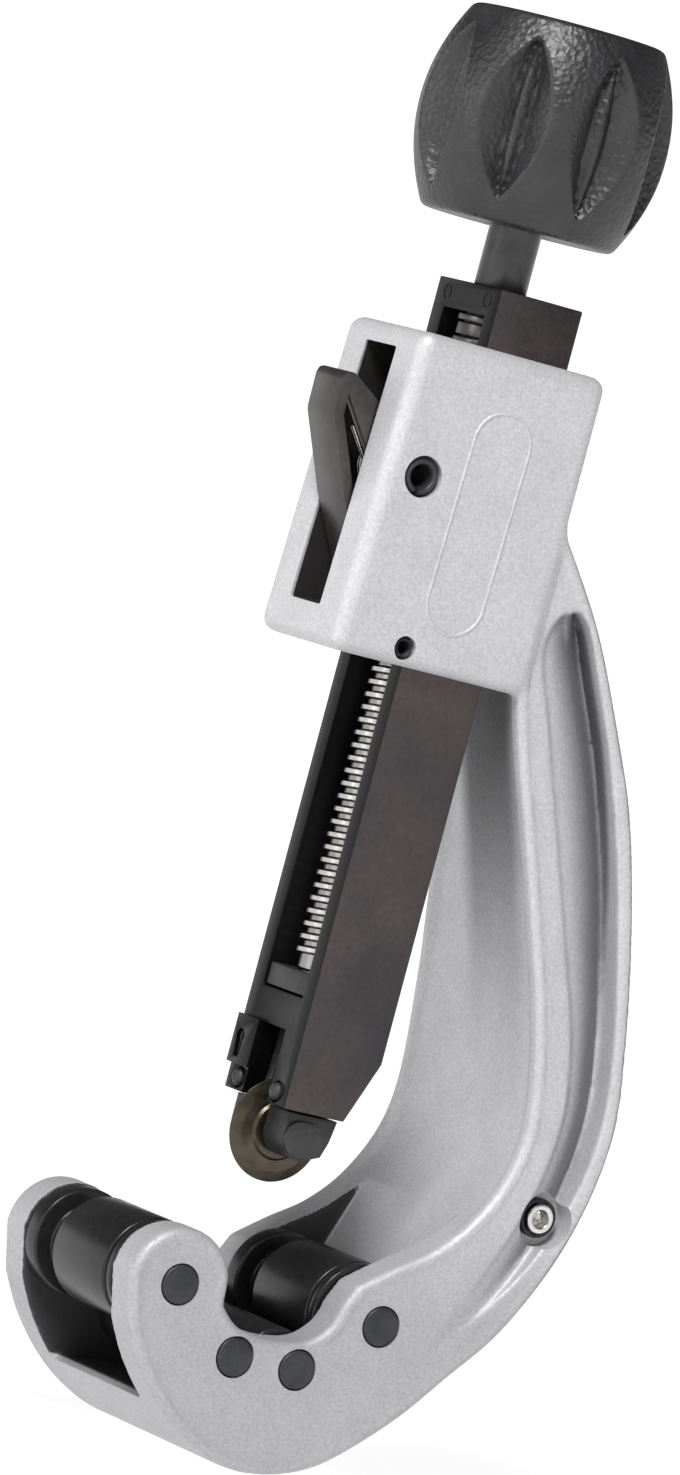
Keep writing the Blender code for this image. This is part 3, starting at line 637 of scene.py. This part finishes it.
def inner_face_shadow_mask(n, x, y, z):
    """The arm's inner face, which gets a painted shadow from the slide and housing, more and more towards
    the housing.
    """
    return n.all_of(n.below(n.facing()[0], -0.75, 0.35), n.above(z, 138.0, 62.0),
                    n.below(z, 157.8, 1.0), n.above(x, 12.0, 2.0), n.below(n.size(y), 6.0, 6.0))


def cast_aluminium():
    """Bead-like cast skin, darker in the roller slot, with painted shade in the latch slot, in the side
    pockets and towards the roller head, and a painted shadow on the arm's inner face.
    """
    n = Nodes("cast_aluminium")
    grain = n.noise(0.55, 4, 0.6)
    colour = n.ramp(grain, [(0.3, (0.47, 0.47, 0.485)), (0.7, (0.62, 0.62, 0.635))])
    patches = n.ramp(n.noise(9.0, 2), [(0.3, 0.93), (0.7, 1.0)])
    pits = n.ramp(n.noise(2.6, 5, 0.7), [(0.27, 0.72), (0.31, 1.0)])
    x, y, z = n.millimetres()
    # Painted shade and a painted shadow, multiplied into the casting's colour.
    painted_shades = [n.mix(mask, WHITE, tone) for mask, tone in ((pocket_shade_mask(n, x, y, z), POCKET_SHADE),
                                                         (inner_face_shadow_mask(n, x, y, z), INNER_FACE_SHADOW),
                                                         (n.below(z, 28.0, 34.0), HEAD_SHADE))]
    for shade in [patches, pits] + painted_shades:
        colour = n.mix(1.0, colour, shade, "MULTIPLY")
    # The roller slot is coloured darker on its side walls and near its open front.
    colour = n.mix(roller_slot_mask(n, x, y, z), colour, ROLLER_SLOT_DARK)
    # Painted shade in the latch slot.
    colour = n.mix(latch_slot_shade_mask(n, x, y, z), colour, SLOT_SHADE)
    rough = n.ramp(grain, [(0.2, 0.62), (0.8, 0.46)])
    n.bump([(n.noise(2.4, 3), 0.25, 0.25), (n.noise(0.7, 4, 0.65), 0.6, 0.14)])
    return n.finish(colour, rough, 0.3)


def dark_metal(name, dark, light, rough_low, rough_high, metallic, grain_mm=1.2, patch_mm=14.0,
               bump=0.25, painted_sheen_and_shade=False):
    """Blackened steel; the last flag paints a sheen on its two sides and shade on its other faces."""
    n = Nodes(name)
    patches = n.noise(patch_mm, 3)
    fine = n.noise(grain_mm, 5, 0.6)
    colour = n.ramp(patches, [(0.3, dark), (0.72, light)])
    colour = n.mix(1.0, colour, n.ramp(fine, [(0.25, 0.78), (0.75, 1.12)]), "MULTIPLY")
    if painted_sheen_and_shade:
        # Painted sheen on the two sides and painted shade on the other faces.
        sideways = n.all_of(n.above(n.size(n.facing()[1]), 0.9, 0.3),
                            n.above(n.size(n.millimetres()[1]), SLIDE_HALF_Y - 0.3, 0.5))
        colour = n.mix(1.0, colour, n.mix(sideways, (0.22, 0.22, 0.22), (2.3, 2.25, 2.3)), "MULTIPLY")
    rough = n.ramp(fine, [(0.2, rough_low), (0.8, rough_high)])
    n.bump([(n.noise(grain_mm * 0.8, 4), bump, 0.05)])
    return n.finish(colour, rough, metallic)


def knob_plastic():
    n = Nodes("knob_plastic")
    leather = n.add("ShaderNodeTexVoronoi", feature="F1")
    leather.inputs["Scale"].default_value = 1 / (1.1 * MM)
    leather.inputs["Randomness"].default_value = 1.0
    warp = n.add("ShaderNodeVectorMath", operation="ADD")
    wave = n.add("ShaderNodeVectorMath", operation="SCALE")
    noise = n.add("ShaderNodeTexNoise")
    noise.inputs["Scale"].default_value = 1 / (2.2 * MM)
    n.link(n.place, noise.inputs["Vector"])
    n.link(noise.outputs["Color"], wave.inputs[0])
    wave.inputs["Scale"].default_value = 0.0013
    n.link(n.place, warp.inputs[0])
    n.link(wave.outputs[0], warp.inputs[1])
    n.link(warp.outputs[0], leather.inputs["Vector"])
    colour = n.ramp(n.noise(6.0, 3), [(0.3, (0.010, 0.010, 0.011)), (0.7, (0.022, 0.021, 0.023))])
    rough = n.ramp(n.noise(1.4, 3), [(0.2, 0.36), (0.8, 0.50)])
    n.bump([(leather.outputs["Distance"], 0.4, 0.36), (n.noise(0.7, 3), 0.3, 0.10)])
    return n.finish(colour, rough, 0.0, 0.6)


def bright_metal(name, dark, light, rough_low, rough_high, grain_mm=0.5):
    n = Nodes(name)
    fine = n.noise(grain_mm, 4)
    colour = n.ramp(n.noise(3.0, 4), [(0.25, dark), (0.75, light)])
    rough = n.ramp(fine, [(0.2, rough_low), (0.8, rough_high)])
    n.bump([(fine, 0.2, 0.02)])
    return n.finish(colour, rough, 1.0)


def thread_steel():
    """Painted highlights in the roots and on the crests of the thread, painted shade on its flanks, and
    dark on the shank.
    """
    n = Nodes("screw_steel")
    x, y, z = n.millimetres()
    square = n.number("ADD", n.number("POWER", x, 2.0), n.number("POWER", y, 2.0))
    tooth = n.share(square, THREAD_ROOT_R ** 2, SCREW_R ** 2)
    # The root and crest bands are painted highlights, the flank band painted shade.
    thread = n.ramp(tooth, [(0.06, (0.32, 0.31, 0.30)), (0.16, (0.02, 0.02, 0.02)),
                            (0.86, (0.02, 0.02, 0.02)), (0.95, (0.52, 0.51, 0.49))])
    shank = n.ramp(n.noise(5.0, 3), [(0.3, (0.05, 0.05, 0.052)), (0.7, (0.075, 0.073, 0.075))])
    colour = n.mix(n.number("LESS_THAN", z, THREAD_TOP_Z), shank, thread)
    rough = n.ramp(n.noise(0.8, 3), [(0.2, 0.24), (0.8, 0.36)])
    n.bump([(n.noise(0.5, 3), 0.2, 0.03)])
    return n.finish(colour, rough, 0.95)


def wheel_steel():
    """Tempered bronze-brown, turned in fine rings."""
    n = Nodes("wheel_steel")
    colour = n.ramp(n.noise(4.0, 4), [(0.3, (0.055, 0.046, 0.033)), (0.7, (0.11, 0.094, 0.07))])
    rough = n.ramp(n.noise(0.8, 3), [(0.2, 0.26), (0.8, 0.40)])
    n.bump([(n.noise(0.35, 3), 0.25, 0.03)])
    return n.finish(colour, rough, 0.9)


def rubber():
    n = Nodes("bush_rubber")
    colour = n.ramp(n.noise(1.0, 3), [(0.3, (0.010, 0.010, 0.010)), (0.7, (0.02, 0.02, 0.02))])
    n.bump([(n.noise(0.4, 3), 0.3, 0.04)])
    return n.finish(colour, n.ramp(n.noise(0.8, 2), [(0.2, 0.55), (0.8, 0.7)]), 0.0)


FINISHES = {
    "cast_aluminium": cast_aluminium(),
    "blackened_steel": dark_metal("blackened_steel", (0.016, 0.0155, 0.018), (0.038, 0.031, 0.028),
                                  0.33, 0.46, 0.65, 1.0, 30.0, 0.12, True),
    "dark_steel": dark_metal("dark_steel", (0.040, 0.040, 0.042), (0.066, 0.064, 0.065),
                             0.40, 0.55, 0.6, 0.9, 6.0, 0.25),
    "pin_black": dark_metal("pin_black", (0.035, 0.036, 0.039), (0.062, 0.063, 0.067),
                            0.42, 0.6, 0.55, 0.9, 3.5, 0.35),
    "roller_steel": dark_metal("roller_steel", (0.014, 0.0135, 0.015), (0.026, 0.025, 0.027),
                               0.24, 0.36, 0.35, 1.6, 12.0, 0.12),
    "screw_steel": thread_steel(),
    "bright_steel": bright_metal("bright_steel", (0.55, 0.54, 0.52), (0.78, 0.77, 0.74), 0.18, 0.34),
    "wheel_steel": wheel_steel(),
    "bush_rubber": rubber(),
    "knob_plastic": knob_plastic(),
}


LATCH_STEEL = dark_metal("latch_steel", (0.05, 0.047, 0.046), (0.09, 0.085, 0.082), 0.30, 0.42, 0.65,
                         1.0, 12.0, 0.15)
# A plain dark steel colour for the thrust washers and bearing.
DARK_WASHER_STEEL = bright_metal("dark_washer_steel", (0.07, 0.068, 0.066), (0.15, 0.145, 0.14), 0.25, 0.42)


def fit(item, node, finish=None):
    """Give a piece its finish, and let it stand for a CAD node."""
    item.data.materials.clear()
    item.data.materials.append(finish or FINISHES[SLOT_OF[node]])
    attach(item, BODY_OF[node])
    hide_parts(node)
    return item


# ---------------------------------------------------------------- pieces

def turned_piece(name, node, profile, finish=None, **options):
    item = make(name, lathe(profile, **options))
    soften(item)
    return fit(item, node, finish)


def build_rollers():
    bore = ROLLER_PIN_R + 0.2
    big = [(bore, -9.4), (BIG_R - 0.1, -9.4), (BIG_R - 0.1, -7.5), (BIG_R - 1.2, -7.4),
           (BIG_R - 1.2, -6.9), (BIG_R, -6.7), (BIG_R, 12.6), (6.4, 12.7), (6.4, 19.0),
           (BIG_R, 19.1), (BIG_R, 23.0), (bore, 23.0)]
    small = [(bore, -9.4), (SMALL_R, -9.4), (SMALL_R, 23.0), (bore, 23.0)]
    for name, x, z, profile in (("roller_front", -BIG_X, BIG_Z, big), ("roller_back", BIG_X, BIG_Z, big),
                                ("lower_roller_front", -SMALL_X, SMALL_Z, small),
                                ("lower_roller_back", SMALL_X, SMALL_Z, small)):
        turned_piece(name + "_drum", name, rounded(profile, 0.5, True), centre=(x, 0, z), closed=True,
                     sides=96)


def build_pins():
    for name, x, z in (("roller_pin_front", -BIG_X, BIG_Z), ("roller_pin_back", BIG_X, BIG_Z),
                       ("lower_pin_front", -SMALL_X, SMALL_Z), ("lower_pin_back", SMALL_X, SMALL_Z)):
        r = ROLLER_PIN_R
        low, high = HEAD_NEAR_Y - 0.1, HEAD_FAR_Y + 0.1
        profile = [(0, low), (r * 0.7, low + 0.03)] + arc((r - 0.5, low + 0.6), 0.5, -90, 0, 5)
        profile += arc((r - 0.5, high - 0.6), 0.5, 0, 90, 5) + [(r * 0.7, high - 0.03), (0, high)]
        turned_piece(name + "_rod", name, profile, centre=(x, 0, z))
    half = HOUSING_HALF_Y - 0.3
    for name, x, z, outer, inner in (("latch_pivot_pin", PIVOT_X, PIVOT_Z, PIVOT_PIN_R, 2.1),
                                     ("slide_guide_pin", GUIDE_X, GUIDE_Z, GUIDE_PIN_R, 1.2)):
        ring = [(inner, -half + 0.5), (inner + 0.35, -half), (outer - 0.5, -half), (outer, -half + 0.8),
                (outer, half - 0.8), (outer - 0.5, half), (inner + 0.35, half), (inner, half - 0.5)]
        turned_piece(name + "_roll", name, rounded(ring, 0.2, True), centre=(x, 0, z), closed=True,
                     sweep=(-92.0, 252.0))


def build_side_screw():
    centre = (SIDE_SCREW_X, 0, SIDE_SCREW_Z)
    bush = [(2.95, -14.7), (3.6, -14.7), (3.6, -12.9), (2.95, -12.9)]
    turned_piece("side_screw_seat", "side_screw_bush", rounded(bush, 0.2, True), centre=centre,
                 closed=True)
    screw = [(0, -5.0), (1.8, -5.0), (1.8, -12.9), (2.7, -12.9), (2.7, -15.3), (2.5, -15.5),
             (1.75, -15.5), (1.6, -15.2), (1.6, -13.0), (1.1, -12.6), (0, -12.6)]
    turned_piece("side_screw_sleeve", "side_screw", rounded(screw, 0.18), centre=centre)


def build_slide():
    body = make("slide_channel", box((SLIDE_FRONT_X, -SLIDE_HALF_Y, SLIDE_LOW_Z),
                                     (SLIDE_BACK_X, SLIDE_HALF_Y, SLIDE_HIGH_Z)))
    cut(body, [
        box((-20.0, -WINDOW_HALF_Y, WINDOW_LOW_Z), (CHANNEL_BACK_X, WINDOW_HALF_Y, WINDOW_HIGH_Z)),
        box((-20.0, -4.5, 50.0), (5.8, 4.5, 77.0)),
        prism(circle((0, WHEEL_Z), WHEEL_R + 0.8, 96), -2.4, 2.4),
        lathe([(0, 200.0), (SCREW_R + GAP, 200.0), (SCREW_R + GAP, 230.0), (0, 230.0)], 64, "Z"),
        prism([(SLIDE_BACK_X + 1, 77.6), (SLIDE_BACK_X + 1, 60.0), (4.95, 60.0)], -20.0, 20.0)])
    for side in (-1, 1):
        cut(body, [lathe([(0, -12.0), (1.9, -12.0), (1.9, -1.5), (0, -1.5)], 40, "X",
                         (0, side * 6.9, 66.2))])
    break_edges(body, 0.28)
    for side in (-1, 1):
        ring = rectangle((1.05, -6.4), (1.35, -5.98))
        cut(body, [lathe(rounded(ring, 0.05, True), 40, "X", (0, side * 7.0, 210.3), closed=True)])
    soften(body, 30)
    fit(body, "slide_body")


def build_thrust_stack():
    """The washers and the bearing between the screw's collar and the slide's top wall."""
    for name, low, high, outer in (("upper_thrust_washer", 206.0, 207.2, 6.0),
                                   ("thrust_bearing", 203.4, 205.7, 5.8),
                                   ("lower_thrust_washer", 201.9, 203.1, 6.0)):
        ring = rounded(rectangle((SCREW_R + GAP, low), (outer, high)), 0.25, True)
        turned_piece(name + "_ring", name, ring, DARK_WASHER_STEEL, axis="Z", closed=True)


def build_screw_foot():
    foot = make("screw_foot_block", box((-5.7, -WINDOW_HALF_Y + GAP, WINDOW_LOW_Z + GAP),
                                        (CHANNEL_BACK_X - GAP, WINDOW_HALF_Y - GAP, 87.6)))
    cut(foot, [lathe([(0, 84.1), (3.3, 84.1), (3.3, 95.0), (0, 95.0)], 48, "Z")])
    break_edges(foot, 0.3)
    soften(foot)
    fit(foot, "screw_foot")


def build_wheel_fork():
    ear = arc((0, WHEEL_Z), 3.9, 180, 285, 20) + [(4.6, 56.6), (5.6, 59.5), (6.2, 63.4), (-3.9, 63.4)]
    fork = make("wheel_fork_body", prism(ear, -9.5, 9.5))
    cut(fork, [box((-2.4, -4.2, 62.0), (5.5, 4.2, 76.7))], "UNION")
    cut(fork, [box((-20.0, -2.2, 50.0), (20.0, 2.2, 69.4)),
               prism(circle((0, WHEEL_Z), WHEEL_PIN_R + 0.2, 48), -20.0, 20.0)])
    break_edges(fork, 0.3)
    soften(fork)
    fit(fork, "wheel_fork")


def build_wheel_pin():
    """A plain pin with an oblong head on the near side."""
    pin = make("wheel_pin_head", lathe([(0, -10.0), (WHEEL_PIN_R, -10.0), (WHEEL_PIN_R, 9.9), (0, 9.9)],
                                       centre=(0, 0, WHEEL_Z)))
    head = arc((0.9, WHEEL_Z), 3.2, -90, 90, 20) + arc((-0.9, WHEEL_Z), 3.2, 90, 270, 20)
    cut(pin, [prism(head, -10.7, -9.8)], "UNION")
    break_edges(pin, 0.22)
    soften(pin)
    fit(pin, "wheel_pin")


def build_pin_clip():
    """An angle plate with a keyhole, and the two rivets beside it."""
    clip = make("pin_clip_plate", prism(rectangle((3.4, 68.4), (10.8, 77.2)), -7.2, -6.4, "X"))
    cut(clip, [box((-6.6, 3.4, 68.4), (-2.8, 4.3, 77.2))], "UNION")
    cut(clip, [prism(arc((8.2, 73.4), 1.3, -30, 210, 24) + [(7.3, 69.6), (9.1, 69.6)], -10.0, -3.0, "X")])
    break_edges(clip, 0.15)
    soften(clip)
    fit(clip, "pin_clip")
    for name, side in (("clip_rivet_near", -1), ("clip_rivet_far", 1)):
        rivet = [(0, -6.75), (0.55, -6.75), (0.7, -6.98), (1.15, -6.9), (1.6, -6.45), (1.6, -1.9),
                 (0, -1.9)]
        turned_piece(name + "_head", name, rounded(rivet, 0.15), axis="X", centre=(0, side * 6.9, 66.2))


def build_cutter_wheel():
    half = 1.5
    bore = WHEEL_PIN_R + 0.2
    wheel = [(bore, -half), (4.9, -half), (5.4, -1.0), (7.4, -0.85), (WHEEL_R, -0.06), (WHEEL_R, 0.06),
             (7.4, 0.85), (5.4, 1.0), (4.9, half), (bore, half)]
    turned_piece("cutter_wheel_disc", "cutter_wheel", rounded(wheel, 0.08, True), centre=(0, 0, WHEEL_Z),
                 closed=True, sides=128)


def thread_shape(per_turn):
    """A right-hand trapezoidal thread with a plain tip, and the shank above it."""
    crest = 0.37 * PITCH
    flank = (PITCH - 2 * crest) / 2
    tooth = [(THREAD_ROOT_R, 0.06), (THREAD_ROOT_R, crest - 0.06), (THREAD_ROOT_R + 0.08, crest),
             (SCREW_R - 0.1, crest + flank - 0.03), (SCREW_R, crest + flank + 0.1),
             (SCREW_R, 2 * crest + flank - 0.1), (SCREW_R - 0.1, 2 * crest + flank + 0.03),
             (THREAD_ROOT_R + 0.08, PITCH)]
    columns = THREAD_TURNS * per_turn
    shape = bmesh.new()
    grid = []
    for k in range(columns + per_turn + 1):
        angle = tau * k / per_turn
        climb = THREAD_LOW_Z + PITCH * k / per_turn
        points = tooth[:1] if k > columns else tooth
        grid.append([shape.verts.new((r * cos(angle), r * sin(angle), climb + rise))
                     for r, rise in points])

    def vert(k, j):
        return grid[k + per_turn][0] if j == len(tooth) else grid[k][j]

    for k in range(columns):
        for j in range(len(tooth)):
            shape.faces.new([vert(k, j), vert(k + 1, j), vert(k + 1, j + 1), vert(k, j + 1)])
    for k in (0, columns):
        shape.faces.new([vert(k, j) for j in range(len(tooth) + 1)])

    end_z = THREAD_LOW_Z + PITCH * (THREAD_TURNS + 1)
    foot = ([(THREAD_ROOT_R, THREAD_LOW_Z - 0.4), (3.0, THREAD_LOW_Z - 0.9), (3.0, 84.9), (2.5, 84.4)], 0)
    head = ([(THREAD_ROOT_R, end_z + 0.4), (SCREW_R - 0.1, end_z + 1.3), (SCREW_R, end_z + 1.5),
             (SCREW_R, 249.4), (SCREW_R - 0.6, 250.0)], columns)
    for profile, first in (foot, head):
        rings = [[shape.verts.new((r * cos(tau * k / per_turn), r * sin(tau * k / per_turn), z))
                  for k in range(per_turn)] for r, z in profile]
        for k in range(per_turn):
            corners = [rings[0][k], rings[0][(k + 1) % per_turn], grid[first + k + 1][0],
                       grid[first + k][0]]
            if first == 0 and k == per_turn - 1:
                corners.insert(2, grid[0][0])
            if first == columns and k == 0:
                corners.append(grid[columns + per_turn][0])
            shape.faces.new(corners)
        stitch(shape, rings)
        shape.faces.new(rings[-1])
    return shape


def knob_radius(angle, height):
    """A barrel with lens-shaped flutes, each with a soft rib along its middle; height is -1 to 1."""
    barrel = KNOB_R - BARREL_FALL * height ** 2
    taper = 1 - min(1.0, abs(height) / FLUTE_END) ** 2
    half_width = FLUTE_HALF_WIDTH * taper ** 0.85
    off = abs((angle * KNOB_FLUTES / tau + 0.5) % 1.0 - 0.5)
    if taper <= 0 or off >= half_width:
        return barrel
    depth = FLUTE_DEPTH * sqrt(taper)
    across = off / half_width
    if across > RIB_SHARE:
        return barrel - depth * (1 - across) / (1 - RIB_SHARE)
    return barrel - depth * (1 - RIB_RISE * (0.5 + 0.5 * cos(pi * across / RIB_SHARE)))


def knob_shape():
    sides = KNOB_FLUTES * 40
    half = (KNOB_HIGH_Z - KNOB_LOW_Z) / 2
    middle = (KNOB_HIGH_Z + KNOB_LOW_Z) / 2
    lean = atan(2 * BARREL_FALL / half)
    end = 1 - BARREL_CORNER_R * (1 - sin(lean)) / half
    corner_x = KNOB_R - BARREL_FALL * end ** 2 - BARREL_CORNER_R * cos(lean)
    low_corner = arc((corner_x, KNOB_LOW_Z + BARREL_CORNER_R), BARREL_CORNER_R, -90, -degrees(lean), 8)
    high_corner = arc((corner_x, KNOB_HIGH_Z - BARREL_CORNER_R), BARREL_CORNER_R, degrees(lean), 90, 8)
    bore = SCREW_R + GAP
    rows = [[(0, 250.3)], [(bore, 250.3)], [(bore, KNOB_LOW_Z + 0.6)], [(bore + 0.6, KNOB_LOW_Z)],
            [(12.0, KNOB_LOW_Z)]]
    rows += [[point] for point in low_corner[:-1]]
    for step in range(85):
        level = end * (2 * step / 84 - 1)
        rows.append([(knob_radius(tau * k / sides, level), middle + half * level) for k in range(sides)])
    rows += [[point] for point in high_corner[1:]]
    rows += [[(12.0, KNOB_HIGH_Z)], [(0, KNOB_HIGH_Z)]]
    shape = bmesh.new()
    rings = []
    for row in rows:
        count = 1 if row[0][0] == 0 else sides
        rings.append([shape.verts.new((row[k % len(row)][0] * cos(tau * k / sides),
                                       row[k % len(row)][0] * sin(tau * k / sides),
                                       row[k % len(row)][1])) for k in range(count)])
    stitch(shape, rings)
    return shape


def build_feed():
    screw = make("feed_screw_thread", thread_shape(28))
    soften(screw, 30)
    fit(screw, "feed_screw")
    grip = make("knob_grip", knob_shape())
    soften(grip, 50)
    fit(grip, "knob")
    collar = [(SCREW_R + GAP, 198.8), (6.0, 198.8), (6.0, 201.6), (SCREW_R + GAP, 201.6)]
    turned_piece("screw_collar_ring", "screw_collar", rounded(collar, 0.3, True), axis="Z", closed=True)


def build_latch():
    """A bent sheet with two cheeks on the pivot pin, open at the back and through its sides."""
    plate = [(-27.2, 192.0), (-28.6, 191.7), (-29.1, 190.6), (-29.0, 184.0), (-22.5, 170.0),
             (-16.4, 159.5), (-15.2, 153.4), (-14.8, 152.8)]
    behind = [(-13.4, 152.8), (-14.7, 159.8), (-20.8, 170.7), (-27.1, 184.3), (-27.2, 188.0)]
    whole = plate + [(-11.9, 152.8), (-11.9, 169.0), (-9.2, 171.4), (-7.6, 175.2), (-7.6, 179.0),
                     (-9.4, 182.0), (-13.2, 184.0), (-19.4, 187.2), (-25.2, 190.8)]
    hollow = behind + [(-25.4, 200.0), (0.0, 200.0), (0.0, 145.0), (-13.4, 145.0)]
    window = [(-20.8, 170.7), (-27.1, 184.3), (-27.2, 188.0), (-22.1, 181.3), (-18.8, 177.0),
              (-18.0, 170.7)]
    latch = make("latch_lever", prism(rounded(whole, 0.8, True), -LATCH_HALF_Y, LATCH_HALF_Y))
    inside = LATCH_HALF_Y - LATCH_SHEET
    cut(latch, [prism(hollow, -inside, inside), prism(window, -20.0, 20.0),
                prism(circle((PIVOT_X, PIVOT_Z), PIVOT_PIN_R + 0.2), -20.0, 20.0)])
    break_edges(latch, 0.22)
    soften(latch, 35)
    fit(latch, "latch", LATCH_STEEL)


def build_half_nut():
    half = LATCH_HALF_Y - LATCH_SHEET - GAP
    nut = make("half_nut_block", box((-13.0, -half, 154.4), (-SCREW_R - GAP, half, 168.6)))
    cut(nut, [lathe([(0, 150.0), (5.36, 150.0), (5.36, 172.0), (0, 172.0)], 64, "Z")])
    cut(nut, [box((-6.2, -6.0, 155.9 + k * PITCH), (0.0, 6.0, 157.0 + k * PITCH)) for k in range(5)])
    break_edges(nut, 0.12)
    soften(nut)
    fit(nut, "half_nut")


def build_latch_spring():
    """A torsion spring round the pivot pin, with one straight leg."""
    wire, coil, turns, steps = 0.45, 4.6, 2.6, 32
    points = [(-coil - 4.4, -1.3, 5.6), (-coil - 2.2, -1.3, 2.8)]
    points += [(coil * cos(pi - tau * k / steps), -1.3 + 0.95 * k / steps, coil * sin(pi - tau * k / steps))
               for k in range(int(turns * steps) + 1)]
    shape = bmesh.new()
    rings = []
    for i, point in enumerate(points):
        here = Vector(point)
        ahead = Vector(points[min(i + 1, len(points) - 1)]) - Vector(points[max(i - 1, 0)])
        side = ahead.cross(Vector((0, 1, 0))).normalized()
        up = side.cross(ahead).normalized()
        centre = here + Vector((PIVOT_X, 0, PIVOT_Z))
        rings.append([shape.verts.new(centre + wire * (side * cos(tau * k / 10) + up * sin(tau * k / 10)))
                      for k in range(10)])
    stitch(shape, rings)
    shape.faces.new(rings[0])
    shape.faces.new(rings[-1])
    spring = make("latch_spring_coil", shape)
    soften(spring)
    fit(spring, "latch_spring")


def build_border():
    """The plain oblong border that the housing's near side has in relief."""
    lean = Matrix.Rotation(radians(-1.8), 2)
    ends = arc((0, 14.3), 5.8, 0, 180, 24) + arc((0, -14.3), 5.8, 180, 360, 24)
    path = [lean @ Vector(p) + Vector((-0.2, 171.8)) for p in ends]
    shape = bmesh.new()
    rings = []
    count = len(path)
    for i, point in enumerate(path):
        ahead = (path[(i + 1) % count] - path[i - 1]).normalized()
        side = Vector((ahead.y, -ahead.x))
        section = ((0.45, 0.25), (0.26, -0.12), (0.0, -0.2), (-0.26, -0.12), (-0.45, 0.25))
        rings.append([shape.verts.new((point.x + side.x * a, -HOUSING_HALF_Y + b, point.y + side.y * a))
                      for a, b in section])
    stitch(shape, rings + rings[:1])
    item = make("housing_border", shape)
    soften(item, 60)
    item.data.materials.append(FINISHES["cast_aluminium"])
    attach(item, "frame")


casting = casting_piece()
fit(casting, "frame_casting")
build_border()
build_rollers()
build_pins()
build_side_screw()
build_slide()
build_thrust_stack()
build_screw_foot()
build_wheel_fork()
build_wheel_pin()
build_pin_clip()
build_cutter_wheel()
build_feed()
build_latch()
build_half_nut()
build_latch_spring()


# ---------------------------------------------------------------- stage, light and camera

CAMERA_AZIMUTH, CAMERA_ELEVATION, CAMERA_ROLL = radians(-30.935), radians(2.04), radians(14.942)
CAMERA_AWAY, CAMERA_AIM_Z, CAMERA_LENS = 1.6814, 0.1163, 231.9
FLOOR_SINK, FLOOR_SHADE, NEAR_GLOW, FAR_GLOW = 0.0004, 0.25, 0.92, 0.14


def build_stage():
    """A plain pale floor that curves up into a low bright wall, the same all round."""
    profile = [(0.0, 0.0), (2.0, 0.0), (4.0, 0.0), (5.0, 0.1), (6.0, 0.45), (6.8, 1.1), (7.3, 2.0),
               (7.6, 3.2), (7.7, 4.6)]
    profile = [(radius, max(0.0, height) - FLOOR_SINK) for radius, height in through(profile, 4)]
    shape = lathe(profile, 96, "Z")
    bmesh.ops.recalc_face_normals(shape, faces=shape.faces[:])
    mesh = bpy.data.meshes.new("studio_floor")
    shape.to_mesh(mesh)
    shape.free()
    mesh.shade_smooth()
    floor = new_object("studio_floor", mesh)
    n = Nodes("studio_floor")
    n.shader.inputs["Base Color"].default_value = (FLOOR_SHADE, FLOOR_SHADE, FLOOR_SHADE, 1.0)
    n.shader.inputs["Roughness"].default_value = 0.9
    n.shader.inputs["Specular IOR Level"].default_value = 0.0
    n.shader.inputs["Emission Color"].default_value = (1.0, 1.0, 1.0, 1.0)
    away = n.add("ShaderNodeVectorMath", operation="LENGTH")
    n.link(n.place, away.inputs[0])
    far = n.above(away.outputs["Value"], 2.4, 2.1)
    glow = n.number("ADD", NEAR_GLOW, n.number("MULTIPLY", far, FAR_GLOW))
    glow = n.number("MULTIPLY", glow, n.below(n.split(n.place)[2], 0.9, 0.7))
    n.link(glow, n.shader.inputs["Emission Strength"])
    mesh.materials.append(n.material)


def area_light(name, place, aim, width, height, watts):
    data = bpy.data.lights.new(name, "AREA")
    data.shape = "RECTANGLE"
    data.size, data.size_y, data.energy = width, height, watts
    lamp = new_object(name, data)
    lamp.location = place
    lamp.rotation_euler = (Vector(aim) - Vector(place)).to_track_quat("-Z", "Y").to_euler()


def build_light():
    world = bpy.data.worlds.new("studio")
    bpy.context.scene.world = world
    world.use_nodes = True
    sky = world.node_tree.nodes["Background"]
    sky.inputs["Color"].default_value = (1.0, 1.0, 1.0, 1.0)
    sky.inputs["Strength"].default_value = 0.05
    aim = (0.0, 0.0, 0.12)
    area_light("key", (-1.0, -0.85, 1.62), aim, 0.6, 0.7, 44)
    area_light("front", (0.2, -1.9, 0.8), aim, 0.9, 0.9, 2)
    area_light("side", (-1.7, 0.1, 0.6), aim, 0.5, 0.9, 6)


def build_camera():
    """A long lens at the photograph's angle, rolled so that the tool leans."""
    azimuth, elevation, roll = CAMERA_AZIMUTH, CAMERA_ELEVATION, CAMERA_ROLL
    target = AXIS + Vector((0.0, 0.0, CAMERA_AIM_Z))
    back = Vector((sin(azimuth) * cos(elevation), -cos(azimuth) * cos(elevation), sin(elevation)))
    right = (-back).cross(Vector((0, 0, 1))).normalized()
    up = right.cross(-back)
    image_right = right * cos(roll) + up * sin(roll)
    image_up = up * cos(roll) - right * sin(roll)
    data = bpy.data.cameras.new("camera")
    data.lens = CAMERA_LENS
    data.sensor_width = 36.0
    data.shift_x, data.shift_y = -0.0130, 0.0542
    data.clip_start, data.clip_end = 0.05, 60.0
    camera = new_object("camera", data)
    turn = Matrix((image_right, image_up, back)).transposed().to_4x4()
    camera.matrix_world = Matrix.Translation(target + back * CAMERA_AWAY) @ turn
    bpy.context.scene.camera = camera


build_stage()
build_light()
build_camera()
bpy.context.scene.view_settings.view_transform = "Standard"
